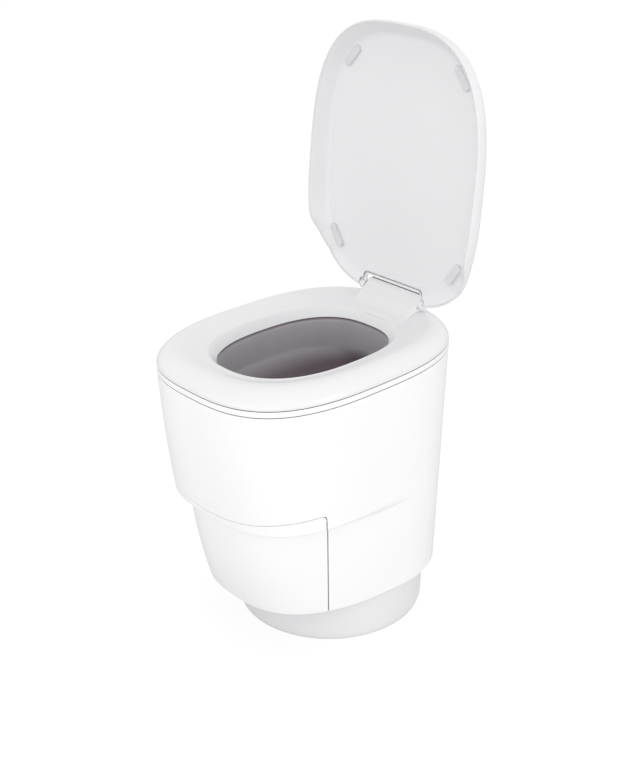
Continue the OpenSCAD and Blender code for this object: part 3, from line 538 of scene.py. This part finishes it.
def barrelAt(z):
    c = casing
    t = (c["top"] - z) / (c["top"] - c["base"])
    u = t * (c["top"] - c["base"]) / (c["top"] - c["lip"])
    nose = c["noseLean"] * u + (c["noseDraft"] - c["noseLean"]) * u * u
    return Section(c["halfWidth"] - c["sideDraft"] * t, c["front"] + nose, c["widest"] + c["rearDraft"] * t,
                   c["rear"] - c["rearDraft"] * t, c["frontPower"], c["rearPower"])


def shinAt(z):
    c = casing
    s = (z - c["base"]) / (c["lip"] - c["base"])
    reach = c["toe"] + (c["shin"] - c["toe"]) * ((1 + c["shinBow"]) * s - c["shinBow"] * s * s)
    return Section(c["halfWidth"] - c["sideDraft"] - c["shinInset"] + c["shinFlare"] * s, -reach,
                   c["shinWidest"] * c["rear"], c["rear"], c["shinPower"], c["shinPower"])


def casingRing(z):
    barrel = barrelAt(z)
    body = shinAt(z).towards(barrel, ease((z - casing["lip"]) / casing["lipSoft"] + 1))
    soft = casing["merge"] * (z < casing["lip"]) + 1e-6
    plan = loop(lambda y: softMin(barrel.width(y), body.width(y), soft), body.values[1], barrel.values[3],
                casing["columns"])
    return np.column_stack([plan, np.full(len(plan), z)])


def drawerField(p):  # below 0 inside the drawer front's outline, which has rounded upper corners
    x, y, z = np.abs(p[:, 0]), p[:, 1], p[:, 2]
    side = (x + y - drawer["side"]) / math.sqrt(2)
    rise = drawer["rise"] * (x / (casing["halfWidth"] - drawer["riseReach"])) ** drawer["risePower"]
    over = z - drawer["top"] - rise
    r = drawer["corner"]
    corner = np.hypot(np.maximum(side + r, 0), np.maximum(over + r, 0)) - r
    inside = np.where((side > -r) & (over > -r), corner, np.maximum(side, over))
    return np.where(y < 0, inside, outOfReach)


def casingLevels():  # closer together where the overhang turns
    c = casing
    turn = c["lip"] - c["lipSoft"]
    return np.concatenate([np.arange(c["base"] + c["edge"], turn - 4, c["bodyStep"]),
                           np.arange(turn - 3, c["lip"] + 4, c["lipStep"]),
                           np.arange(c["lip"] + 5, c["lip"] + 42, c["seamStep"]),
                           np.linspace(c["lip"] + 45, c["top"] - c["edge"], c["upperLevels"])])


outside = gridSurface([casingRing(z) for z in casingLevels()])
seamHalf = drawer["seam"] / 2 + casing["edge"]


def casingField(p):  # above 0 on the casing, outside the drawer front and the gland's hole
    hole = np.hypot(p[:, 0], p[:, 2] - gland["z"]) - gland["radius"]
    return np.minimum(drawerField(p) - seamHalf, np.where(p[:, 1] > 0, hole, outOfReach))


shell = thicken(cutSurface(outside, casingField), casing["wall"], casing["edge"])
front = thicken(cutSurface(outside, lambda p: -drawerField(p) - seamHalf), casing["wall"], casing["edge"])
piece("casing", shell, "cabinet", "casing_white", ["body_shell"])
piece("drawerPanel", front, "drawer", "casing_white", ["drawer_front"])

# Dark strips in the gaps, painted shade standing for the shadow in the seams: near and far are their depths
# under the casing's skin
gapShade = {"near": 0.55, "far": 3.0, "half": 0.58, "turn": 0.2, "clear": 0.05, "columns": 180,
          "upperHeight": 1.25, "upperDepth": 6.5}


def drawerGapShade():  # dark strip of painted shade that lies in the gap round the drawer front
    points, faces, normals = cutSurface(outside, drawerField)
    onSeam = {i for i, value in enumerate(drawerField(points)) if abs(value) < 1e-6}
    following = openEdges(faces)
    starts = set(following) & onSeam - {b for a, b in following.items() if a in onSeam}
    made = []
    for i in sorted(starts):
        run = [i]
        while following.get(run[-1]) in onSeam:
            run.append(following[run[-1]])
        if len(run) > 3:
            made.append(strip(points[run], normals[run]))
    return joined(*made)


def strip(path, normals):
    side = np.cross(normals, np.gradient(path, axis=0))
    side /= np.linalg.norm(side, axis=1, keepdims=True) + 1e-12
    near, far, half, turn = (gapShade[name] for name in ("near", "far", "half", "turn"))
    corners = [(half, far), (half, near + turn), (half - turn, near)]
    corners += [(-s, d) for s, d in reversed(corners)]
    return capped(np.stack([path + side * s - normals * d for s, d in corners], 1))


# dark strip of painted shade in the drawer front's gap
piece("drawerSeamShade", drawerGapShade(), "cabinet", "rubber_dark")
print("casing made")


# Band between the two seams, with the fixed knuckles of the seat's hinge

band = {"low": 495.1, "high": 504.7, "edge": 0.55, "depth": 20, "knuckle": (30, 44.7), "radius": 5,
        "knuckleEdge": 0.8, "hingeY": 200, "hingeZ": 505.6, "columns": 260}


def bandProfile():
    e, low, high, depth = (band[name] for name in ("edge", "low", "high", "depth"))
    outer = [(e - e * math.sin(a), low + e - e * math.cos(a)) for a in quarterTurns]
    outer += [(e - e * math.cos(a), high - e + e * math.sin(a)) for a in quarterTurns]
    return outer + [(depth, high), (depth, low)]


def seatHingeBar(x0, x1):
    return roundBar(band["radius"], x0, x1, band["hingeY"], band["hingeZ"], band["knuckleEdge"])


bandRows = [ring(rimSection.inset(d), z, band["columns"]) for d, z in bandProfile()]
knuckle = seatHingeBar(*band["knuckle"])
piece("seamBand", joined(gridSurface(bandRows, closedRows=True)[:2], knuckle, mirrored(knuckle)), "cabinet",
      "casing_white", ["seat_band"])


def levelGapShade(low, high, inner):  # dark ring of painted shade that lies in a level gap
    near, turn = gapShade["near"], gapShade["turn"]
    corners = [(near + turn, low), (near, low + turn), (near, high - turn), (near + turn, high)]
    corners += [(inner, high), (inner, low)]
    rows = [ring(rimSection.inset(d), z, gapShade["columns"]) for d, z in corners]
    return gridSurface(rows, closedRows=True)[:2]


# dark rings of painted shade in the level gaps below and above the band
lowerGapShade = levelGapShade(casing["top"] + gapShade["clear"], band["low"] - gapShade["clear"], gapShade["far"])
upperGapShade = levelGapShade(band["high"] + gapShade["clear"], band["high"] + gapShade["upperHeight"],
                       gapShade["upperDepth"])
piece("bandSeamShade", joined(lowerGapShade, upperGapShade), "cabinet", "rubber_dark")
print("band made")


# Seat: an open ring with a hollow underside, and the hinge block that climbs out of it

seat = {"top": 534.5, "low": 506.0, "rise": 2, "rounding": 25.7, "flange": 77.9, "dish": 11.9, "roll": 11.7,
        "holeEdge": 505.1, "lipOut": 4.1, "lipTop": 508, "roundPower": 1.235, "rollPower": 1.3,
        "wall": 3.4, "columns": 330, "dishRows": 22, "mouth": (0.3, 0.2), "backShare": (0.85, 0.42),
        "foot": ((0.008, 0), (0.0015, 0.2), (0, 0.7)),
        "rollAt": (0.03, 0.07, 0.12, 0.2, 0.3, 0.4, 0.5, 0.6, 0.7, 0.8, 0.9, 0.97),
        "relief": (29.5, 45.2), "reliefRadius": 5.6, "knuckle": (45.3, 60)}
seat["crest"] = seat["rounding"] / seat["flange"]
seat["crease"] = 1 - seat["roll"] / seat["flange"]
holeSection = Section(110.3, -211.6, -59.9, 95.4, 2.35, 2.57)


def seatHeight(k):  # height of the upper skin, with k from 0 at the rim to 1 at the opening
    s = seat
    low = s["low"] + s["rise"]
    rounding = low + (s["top"] - low) * arch(k / s["crest"], 2 / s["roundPower"])
    dish = s["top"] - s["dish"] * ease((k - s["crest"]) / (s["crease"] - s["crest"]))
    fall = np.clip((k - s["crease"]) / (1 - s["crease"]), 0, 1) ** s["rollPower"]
    return np.where(k < s["crest"], rounding,
                    np.where(k < s["crease"], dish, mix(s["top"] - s["dish"], s["holeEdge"], fall)))


def seatRows():
    s = seat
    low, crest, crease, power = (s[name] for name in ("low", "crest", "crease", "roundPower"))
    skin = s["wall"] / s["flange"]
    upper = [crest * (1 - math.cos(a) ** power) for a in np.radians(np.arange(0, 90, 3))]
    upper += list(np.linspace(crest, crease, s["dishRows"])) + [mix(crease, 1, t) for t in s["rollAt"]]
    rows = [(skin, low)] + [(k, low + rise) for k, rise in s["foot"]] + [(k, seatHeight(k)) for k in upper]
    rows = [(rimSection.towards(holeSection, k), z) for k, z in rows]
    edge, lip, (up, out) = s["holeEdge"], s["lipOut"], s["mouth"]
    lipRows = ((0, edge + up), (out, edge), (lip, edge), (lip, s["lipTop"]))
    rows += [(holeSection.inset(-d), z) for d, z in lipRows]
    rollBack, dishBack = (share * skin for share in s["backShare"])  # back is the hollow underside
    back = [(mix(crease, 1, t) - rollBack, seatHeight(mix(crease, 1, t)) - s["wall"] / 2)
            for t in (0.6, 0.4, 0.2)]
    back += [(mix(crest, crease - dishBack, t), s["top"] - s["wall"] - s["dish"] * ease(t))
             for t in np.linspace(1, 0, 12)]
    back += [(skin + (crest - skin) * (1 - math.cos(a) ** power),
              low + s["rise"] + (s["top"] - low - s["rise"] - s["wall"]) * math.sin(a) ** power)
             for a in np.radians(range(80, 5, -8))]
    rows += [(rimSection.towards(holeSection, k), z) for k, z in back]
    return [ring(section, z, s["columns"]) for section, z in rows]


def seatTop(x, y, halvings=30):  # height of the seat's upper skin
    low, high = np.zeros(np.shape(x)), np.full(np.shape(x), 1.0)
    for _ in range(halvings):
        k = (low + high) / 2
        half, front, widest, rear, frontPower, rearPower = (
            mix(a, b, k) for a, b in zip(rimSection.values, holeSection.values))
        u = np.where(y < widest, (widest - y) / (widest - front), (y - widest) / (rear - widest))
        n = np.where(y < widest, frontPower, rearPower)
        inside = half * np.maximum(1 - np.clip(u, 0, 1) ** n, 0) ** (1 / n) > np.abs(x)
        low, high = np.where(inside, k, low), np.where(inside, high, k)
    return seatHeight(low)


def dent(points, x0, x1, y, z, r):  # moves what lies in a barrel along X out to its skin
    points = np.array(points)
    away = points[:, 1:] - [y, z]
    reach = np.linalg.norm(away, axis=1, keepdims=True) + 1e-9
    hit = (np.abs(points[:, 0]) > x0) & (np.abs(points[:, 0]) < x1) & (reach[:, 0] < r)
    points[hit, 1:] = [y, z] + away[hit] / reach[hit] * r
    return points


# The ramp's points are y and the height over the seat's top, up to the ledge and down the block's back
hinge = {"axisY": 154.3, "axisZ": 546.2, "half": 66.4, "edge": 2.6, "steep": 60, "blend": (7.5, 2.0),
         "blendEnd": (140, 8), "reach": 79, "pocket": 9.3, "pocketReach": 77.4, "under": 2.4,
         "sunk": 0.25, "fade": (1.2, 6), "skirt": (0.3, 0.22), "steps": (1.6, 0.8), "fineFrom": 12,
         "columnSteps": (4, 0.5, 1.4), "closeFrom": 6, "closeTo": 3,
         "beside": (-0.1, 0, 0.08, 0.16, 0.25, 0.35, 0.5, 0.7, 1.0, 1.5, 2.1),
         "ramp": ((106, -16.5), (110.3, -13.5), (115.3, -10.6), (121, -8.2), (126, -4.7), (131.3, 0),
                  (138.3, 6.2), (147.3, 12.3), (154, 17.4), (159.5, 22.5), (162.2, 24.7), (163.2, 24.6),
                  (164, 22.6), (164.8, 20.6), (166.2, 19.8), (167.6, 19.8), (168.3, 22.6), (169.3, 24.2),
                  (170.3, 23.6), (171.2, 14), (172.0, -5.0))}


def rampSteps():  # y and z of the block's rows
    ramp, (coarse, fine) = hinge["ramp"], hinge["steps"]
    run = np.concatenate([[0], np.cumsum([math.dist(a, b) for a, b in zip(ramp, ramp[1:])])])
    turn = run[hinge["fineFrom"]]
    at = np.concatenate([np.arange(0, turn, coarse), np.arange(turn, run[-1], fine), [run[-1]]])
    ys, rises = zip(*ramp)
    return through(run, ys, at), seat["top"] + through(run, rises, at)


def blockColumns():  # x, closest together at the block's two sides
    side, (coarse, close, beyond) = hinge["half"], hinge["columnSteps"]
    near = side - hinge["closeFrom"]
    half = np.concatenate([np.arange(0, near, coarse), np.arange(near, side - 0.2, close),
                           side + np.array(hinge["beside"]),
                           np.arange(side + hinge["closeTo"], hinge["reach"] + 1, beyond)])
    return np.concatenate([-half[:0:-1], half])


def hingeBlock():  # its skin flows into the seat's, and its lower side follows the seat
    h = hinge
    ys, zs = rampSteps()
    x, y = np.meshgrid(blockColumns(), ys)
    out = np.maximum(np.abs(x) - (h["half"] - h["edge"]), 0)
    drop = h["edge"] - np.sqrt(np.maximum(h["edge"] ** 2 - np.minimum(out, h["edge"]) ** 2, 0))
    drop += np.maximum(np.abs(x) - h["half"], 0) * h["steep"]
    block, base = zs[:, None] - drop, seatTop(x, y)
    (wide, tight), (start, length) = h["blend"], h["blendEnd"]
    soft = np.where(np.abs(x) > h["half"] - 0.01, mix(wide, tight, ease((y - start) / length)), wide)
    z = -softMin(-block, -base, soft)
    (above, fade), (skirt, tuck) = h["fade"], h["skirt"]
    lift = ease((z - base) / h["sunk"] + (block - base + above) / fade)
    z = np.where(z - base < skirt, z - tuck * (1 - lift), z)  # the skirt dips under the seat's skin
    z = np.maximum(z, base - h["sunk"])
    upper = np.column_stack([x.ravel(), y.ravel(), z.ravel()])
    lower = np.column_stack([x.ravel(), y.ravel(), np.minimum(z, base).ravel() - h["under"]])
    index = np.arange(x.size).reshape(x.shape)
    faces = np.stack([index[:-1, :-1], index[:-1, 1:], index[1:, 1:], index[1:, :-1]], -1)
    faces = faces.reshape(-1, 4).tolist()
    made = faces + [[i + x.size for i in reversed(f)] for f in faces]
    rim = np.concatenate([index[0], index[1:, -1], index[-1, -2::-1], index[-2:0:-1, 0]]).tolist()
    made += [[b, a, a + x.size, b + x.size] for a, b in zip(rim, rim[1:] + rim[:1])]
    points = np.vstack([upper, lower])
    return dent(points, h["half"] + 0.2, h["pocketReach"], h["axisY"], h["axisZ"], h["pocket"]), made


seatPoints, seatFaces, _ = gridSurface(seatRows(), closedRows=True)
seatPoints = dent(seatPoints, *seat["relief"], band["hingeY"], band["hingeZ"], seat["reliefRadius"])
seatKnuckle = seatHingeBar(*seat["knuckle"])
piece("seatRing", joined((seatPoints, seatFaces), seatKnuckle, mirrored(seatKnuckle)), "seat_lift",
      "seat_white", ["seat"])
piece("hingeBlock", hingeBlock(), "seat_lift", "seat_white", sharp=60)

# Dark strip of painted shadow behind the block's top edge, standing for the shade under the open lid
ledge = {"half": 64, "y": (164.2, 167.8), "low": 552, "high": 558.2, "edge": 0.8}


def ledgeShadowStrip():  # dark strip behind the block's top edge: painted shadow, a dark piece that stands for the shade in the gap under the open lid
    near, far = ledge["y"]
    path = [(x, (near + far) / 2) for x in (-ledge["half"], 0, ledge["half"])]
    return sweep(path, [(0, 1)] * 3, (far - near) / 2, ledge["low"], ledge["high"], ledge["edge"])


piece("ledgeShadowStrip", ledgeShadowStrip(), "seat_lift", "rubber_dark")
print("seat made")


# Start key on the ramp

key = {"length": 36, "width": 6, "low": -3.2, "proud": 0.8, "edge": 0.7, "tilt": 42, "y": 159.9, "z": 557.4}
keyBar = roundedPad(key["length"], key["width"], key["low"], key["proud"], key["edge"], 0.0)
piece("startKey", moved(keyBar, lambda points: tilted(points, key["tilt"], key["y"], key["z"])), "button",
      "key_grey", ["start_button"])


# Film that hangs from the cassette into the funnel

film = {"top": 504.6, "thickness": 0.9, "thinnest": 0.6, "lean": 0.3, "columns": 150, "slit": (-222, 110),
        "levels": ((286, 366, 12), (369, 452, 34), (455, 504.6, 18)),
        "heights": [286, 366, 376, 400, 430, 452, 480, 499, 504.6],
        "halfWidths": [1.2, 1.4, 9, 42, 84, 108.9, 110.3, 111.1, 114.5],
        "gather": [1, 1, 0.97, 0.75, 0.35, 0, 0, 0, 0],
        "flare": [0, 0, 0, 0, 0, 0.6, 0.6, 0.8, 4.2]}


def filmRing(z, thickness):
    k, half, flare = (float(through(film["heights"], film[name], np.array(z)))
                      for name in ("gather", "halfWidths", "flare"))
    hole = holeSection.values
    section = Section(half, mix(hole[1] - flare, film["slit"][0], k), hole[2],
                      mix(hole[3] + flare, film["slit"][1], k), hole[4], hole[5])
    return ring(section.inset(min(thickness, half * film["thinnest"])),
                z + film["lean"] * thickness * (z < film["top"] - 1), film["columns"])


filmHeights = np.concatenate([np.linspace(*level) for level in film["levels"]])
filmRows = [filmRing(z, 0) for z in filmHeights] + [filmRing(z, film["thickness"]) for z in filmHeights[::-1]]
piece("linerFilm", capped(filmRows), "cabinet", "film_mauve", ["liner_film"])
print("key and film made")


# Lid: drawn closed, then swung open about its axis

lid = {"halfWidth": 193, "front": -301.1, "widest": -44.7, "rear": 160, "rimZ": 515.1, "topZ": 551.3,
       "sag": (4, -150, 180), "back": (30, 60, 50), "climb": (0.365, 46, 23), "open": 94, "columns": 300,
       "wall": 3.0, "roll": 0.8,
       "dome": ([0, 0.3, 1.8, 5.5, 11.5, 20, 31], [0, 0.2, 0.42, 0.66, 0.84, 0.95, 1], 30),
       "crown": ((38, 0.25), (46, 0.55), (56, 0.95), (66, 1.3), (78, 1.65), (92, 2.0), (106, 2.25),
                 (118, 2.4), (130, 2.48)),
       "notchHalf": 67.2, "notchY": 132.8, "notchCorner": 7, "lip": 2.6, "lipLow": 543.6,
       "lipUnder": 1.2, "lipEdge": 0.7, "lipEnd": (2, 146), "lipAcross": (40, 20, 0),
       "knuckleRadius": 8, "knuckle": (67.2, 76.0), "knuckleEdge": 1.0}
lidSection = Section(lid["halfWidth"], lid["front"], lid["widest"], lid["rear"], 2.9, 2.95)


def rimHeight(y):  # the rim sags towards the back, then climbs to the hinge
    (sag, sagStart, sagRun), (back, sagBack, climbBack), (slope, start, most) = (
        lid[name] for name in ("sag", "back", "climb"))
    return (lid["rimZ"] - sag * ease((y - sagStart) / sagRun) * (1 - ease((y - back) / sagBack))
            + np.minimum(most, slope * np.maximum(0, y - start) * ease((y - back) / climbBack)))


def swungOpen(points):
    y, z = hinge["axisY"], hinge["axisZ"]
    return tilted(points - np.array([0, y, z]), -lid["open"], y, z)


def domeCurve(insets, rises, count, samples=400, climb=33):  # even steps along a curve, climb in mm
    at = np.linspace(0, len(insets) - 1, samples)
    d, f = (through(range(len(insets)), values, at) for values in (insets, rises))
    run = np.concatenate([[0], np.cumsum(np.hypot(np.diff(d), climb * np.diff(f)))])
    even = np.linspace(0, run[-1], count)
    return list(zip(np.interp(even, run, d), np.interp(even, run, f)))


def lidRing(d, z):
    return ring(lidSection.inset(d), z, lid["columns"])


def notchField(half, y, corner):  # above 0 outside the notch
    def field(p):
        a, b = half - np.abs(p[:, 0]), p[:, 1] - y
        inner = np.minimum(a, b)
        reach = corner - np.hypot(np.maximum(corner - a, 0), np.maximum(corner - b, 0))
        return -np.where((a < corner) & (b < corner), reach, inner)
    return field


def lidDome():
    rows = [lidRing(d, lambda y: mix(rimHeight(y), lid["topZ"], f)) for d, f in domeCurve(*lid["dome"])]
    rows += [lidRing(d, lid["topZ"] + rise) for d, rise in lid["crown"]]
    notch = notchField(lid["notchHalf"] + lid["roll"], lid["notchY"] - lid["roll"], lid["notchCorner"])
    return thicken(cutSurface(gridSurface(rows, fan=True), notch), lid["wall"], lid["roll"])


def notchLip():
    middle = lid["lip"] / 2
    half, y, r = lid["notchHalf"] + middle, lid["notchY"] - middle, lid["notchCorner"] + middle
    short, straight = lid["lipEnd"]
    path, normals = [(half, hinge["axisY"] - short), (half, straight)], [(1, 0), (1, 0)]
    for a in np.radians(np.linspace(0, 90, 10)):
        path.append((half - r + r * math.cos(a), y + r - r * math.sin(a)))
        normals.append((math.cos(a), -math.sin(a)))
    path += [(x, y) for x in lid["lipAcross"]]
    normals += [(0, -1)] * len(lid["lipAcross"])
    path += [(-x, b) for x, b in path[-2::-1]]
    normals += [(-x, b) for x, b in normals[-2::-1]]
    return sweep(path, normals, middle, lid["lipLow"], lid["topZ"] - lid["lipUnder"], lid["lipEdge"])


lidKnuckle = roundBar(lid["knuckleRadius"], *lid["knuckle"], hinge["axisY"], hinge["axisZ"],
                      lid["knuckleEdge"])
piece("lidDome", moved(joined(lidDome(), notchLip(), lidKnuckle, mirrored(lidKnuckle)), swungOpen), "lid",
      "lid_white", ["lid_shell"])

# Inner panel: its wall climbs from the rim, and its field is dished with the deepest part in the middle
panel = {"heights": (539.5, 543, 546), "rearFrom": (40, 70), "dish": (32, 125, 2.2), "overRim": (1, 2),
         "side": ([3.6, 5, 20.5, 25, 28, 32], [0, 0.075, 0.87, 0.96, 0.99, 1], 34),
         "insets": (35, 39, 44, 50, 58, 68, 80, 94, 110, 126, 140), "groove": 3.0, "grooveCorner": 4,
         "clear": (80, 141, 6), "wall": 2.0, "roll": 0.5}


def panelHeight(y, d):
    edge, rearEdge, middle = panel["heights"]
    (start, run), (first, last, power) = panel["rearFrom"], panel["dish"]
    low = mix(edge, rearEdge, ease((y - start) / run))
    level = middle - (middle - low) * (1 - np.clip((d - first) / (last - first), 0, 1)) ** power
    return np.maximum(level, rimHeight(y) + panel["overRim"][1])


def linerPanel():
    rows = [lidRing(d, lambda y: mix(rimHeight(y) + panel["overRim"][0], panelHeight(y, 0), f))
            for d, f in domeCurve(*panel["side"])]
    rows += [lidRing(d, lambda y: panelHeight(y, d)) for d in panel["insets"]]
    points, faces, normals = gridSurface(rows, fan=True)
    surface = points, [face[::-1] for face in faces], -normals
    wide, corner = lid["lip"] + panel["groove"], lid["notchCorner"] + panel["grooveCorner"]
    notch = notchField(lid["notchHalf"] + wide, lid["notchY"] - wide, corner)
    knuckles = notchField(*panel["clear"])
    cut = cutSurface(surface, lambda p: np.minimum(notch(p) - panel["roll"], knuckles(p)))
    return thicken(cut, panel["wall"], panel["roll"])


piece("lidPanel", moved(linerPanel(), swungOpen), "lid", "lid_white", ["lid_liner"])

pads = {"length": 44, "width": 14, "low": 534.9, "high": 545.5, "edge": 1.8, "crown": 0.15,
        "places": ((123, -232, 49), (141, 80, 123))}  # x, y and the turn in plan


def bumperPads():
    made = []
    points, faces = roundedPad(pads["length"], pads["width"], 0, pads["high"] - pads["low"], pads["edge"],
                               pads["crown"])
    px, py, pz = points.T
    for x, y, turn in pads["places"]:
        a = math.radians(turn)
        placed = np.column_stack([x + px * math.cos(a) - py * math.sin(a),
                                  y + px * math.sin(a) + py * math.cos(a), pads["high"] - pz])
        pad = placed, [face[::-1] for face in faces]
        made += [pad, mirrored(pad)]
    return joined(*made)


piece("lidPads", moved(bumperPads(), swungOpen), "lid", "bumper_grey", ["lid_bumpers"])
print("lid made")


# Floor, lamps and surroundings

studio = {"floorTone": 0.58, "floorSize": 30, "shadowShare": 0.25, "glow": 1.16, "world": 0.97,
          "lampAim": (0, 0, 0.45), "lampSize": 1.6,
          "lamps": (("cameraLamp", (2.2, -2.1, 0.75), 8), ("leftLamp", (-1.2, -2.8, 0.9), 4.5),
                    ("sideLamp", (3.0, 0.6, 0.9), 17), ("frontLamp", (0.6, -3.0, 0.9), 11))}


def makeFloor():  # takes light like a grey floor, and looks near white apart from the shadow
    size = studio["floorSize"]
    mesh = bpy.data.meshes.new("floor")
    mesh.from_pydata([(-size, -size, 0), (size, -size, 0), (size, size, 0), (-size, size, 0)], [],
                     [(0, 1, 2, 3)])
    floor = bpy.data.objects.new("floor", mesh)
    bpy.context.scene.collection.objects.link(floor)
    f = Finish("paleFloor", Base_Color=(studio["floorTone"],) * 3 + (1,), Roughness=0.9)
    nodes, links = f.tree.nodes, f.tree.links
    seen = Value(f.tree, nodes.new("ShaderNodeLightPath").outputs["Is Camera Ray"])
    glow, blend = nodes.new("ShaderNodeEmission"), nodes.new("ShaderNodeMixShader")
    f.feed(glow, {"Color": (1, 1, 1, 1), "Strength": studio["glow"]})
    f.feed(blend, {0: seen * (1 - studio["shadowShare"])})
    links.new(f.shader.outputs[0], blend.inputs[1])
    links.new(glow.outputs[0], blend.inputs[2])
    links.new(blend.outputs[0], nodes["Material Output"].inputs["Surface"])
    floor.data.materials.append(f.material)


def makeWorld():  # the camera and gloss see white, and the light on the object is a little less
    world = bpy.data.worlds.new("surroundings")
    bpy.context.scene.world = world
    world.use_nodes = True
    tree = world.node_tree
    background = tree.nodes["Background"]
    paths = tree.nodes.new("ShaderNodeLightPath")
    seen = Value(tree, paths.outputs["Is Camera Ray"]) + Value(tree, paths.outputs["Is Glossy Ray"])
    seen = seen.sum("MINIMUM", seen, 1.0)
    tree.links.new((seen * (1 - studio["world"]) + studio["world"]).socket, background.inputs["Strength"])
    background.inputs["Color"].default_value = (1, 1, 1, 1)


def makeLamps():
    for name, at, power in studio["lamps"]:
        data = bpy.data.lights.new(name, "AREA")
        data.shape, data.size, data.energy = "DISK", studio["lampSize"], power
        lamp = bpy.data.objects.new(name, data)
        bpy.context.scene.collection.objects.link(lamp)
        lamp.location = at
        way = np.array(studio["lampAim"], float) - np.array(at)
        lamp.rotation_euler = (math.acos(-way[2] / np.linalg.norm(way)), 0,
                               math.atan2(way[1], way[0]) - math.pi / 2)


makeFloor()
makeWorld()
makeLamps()
bpy.context.scene.view_settings.view_transform = "Standard"
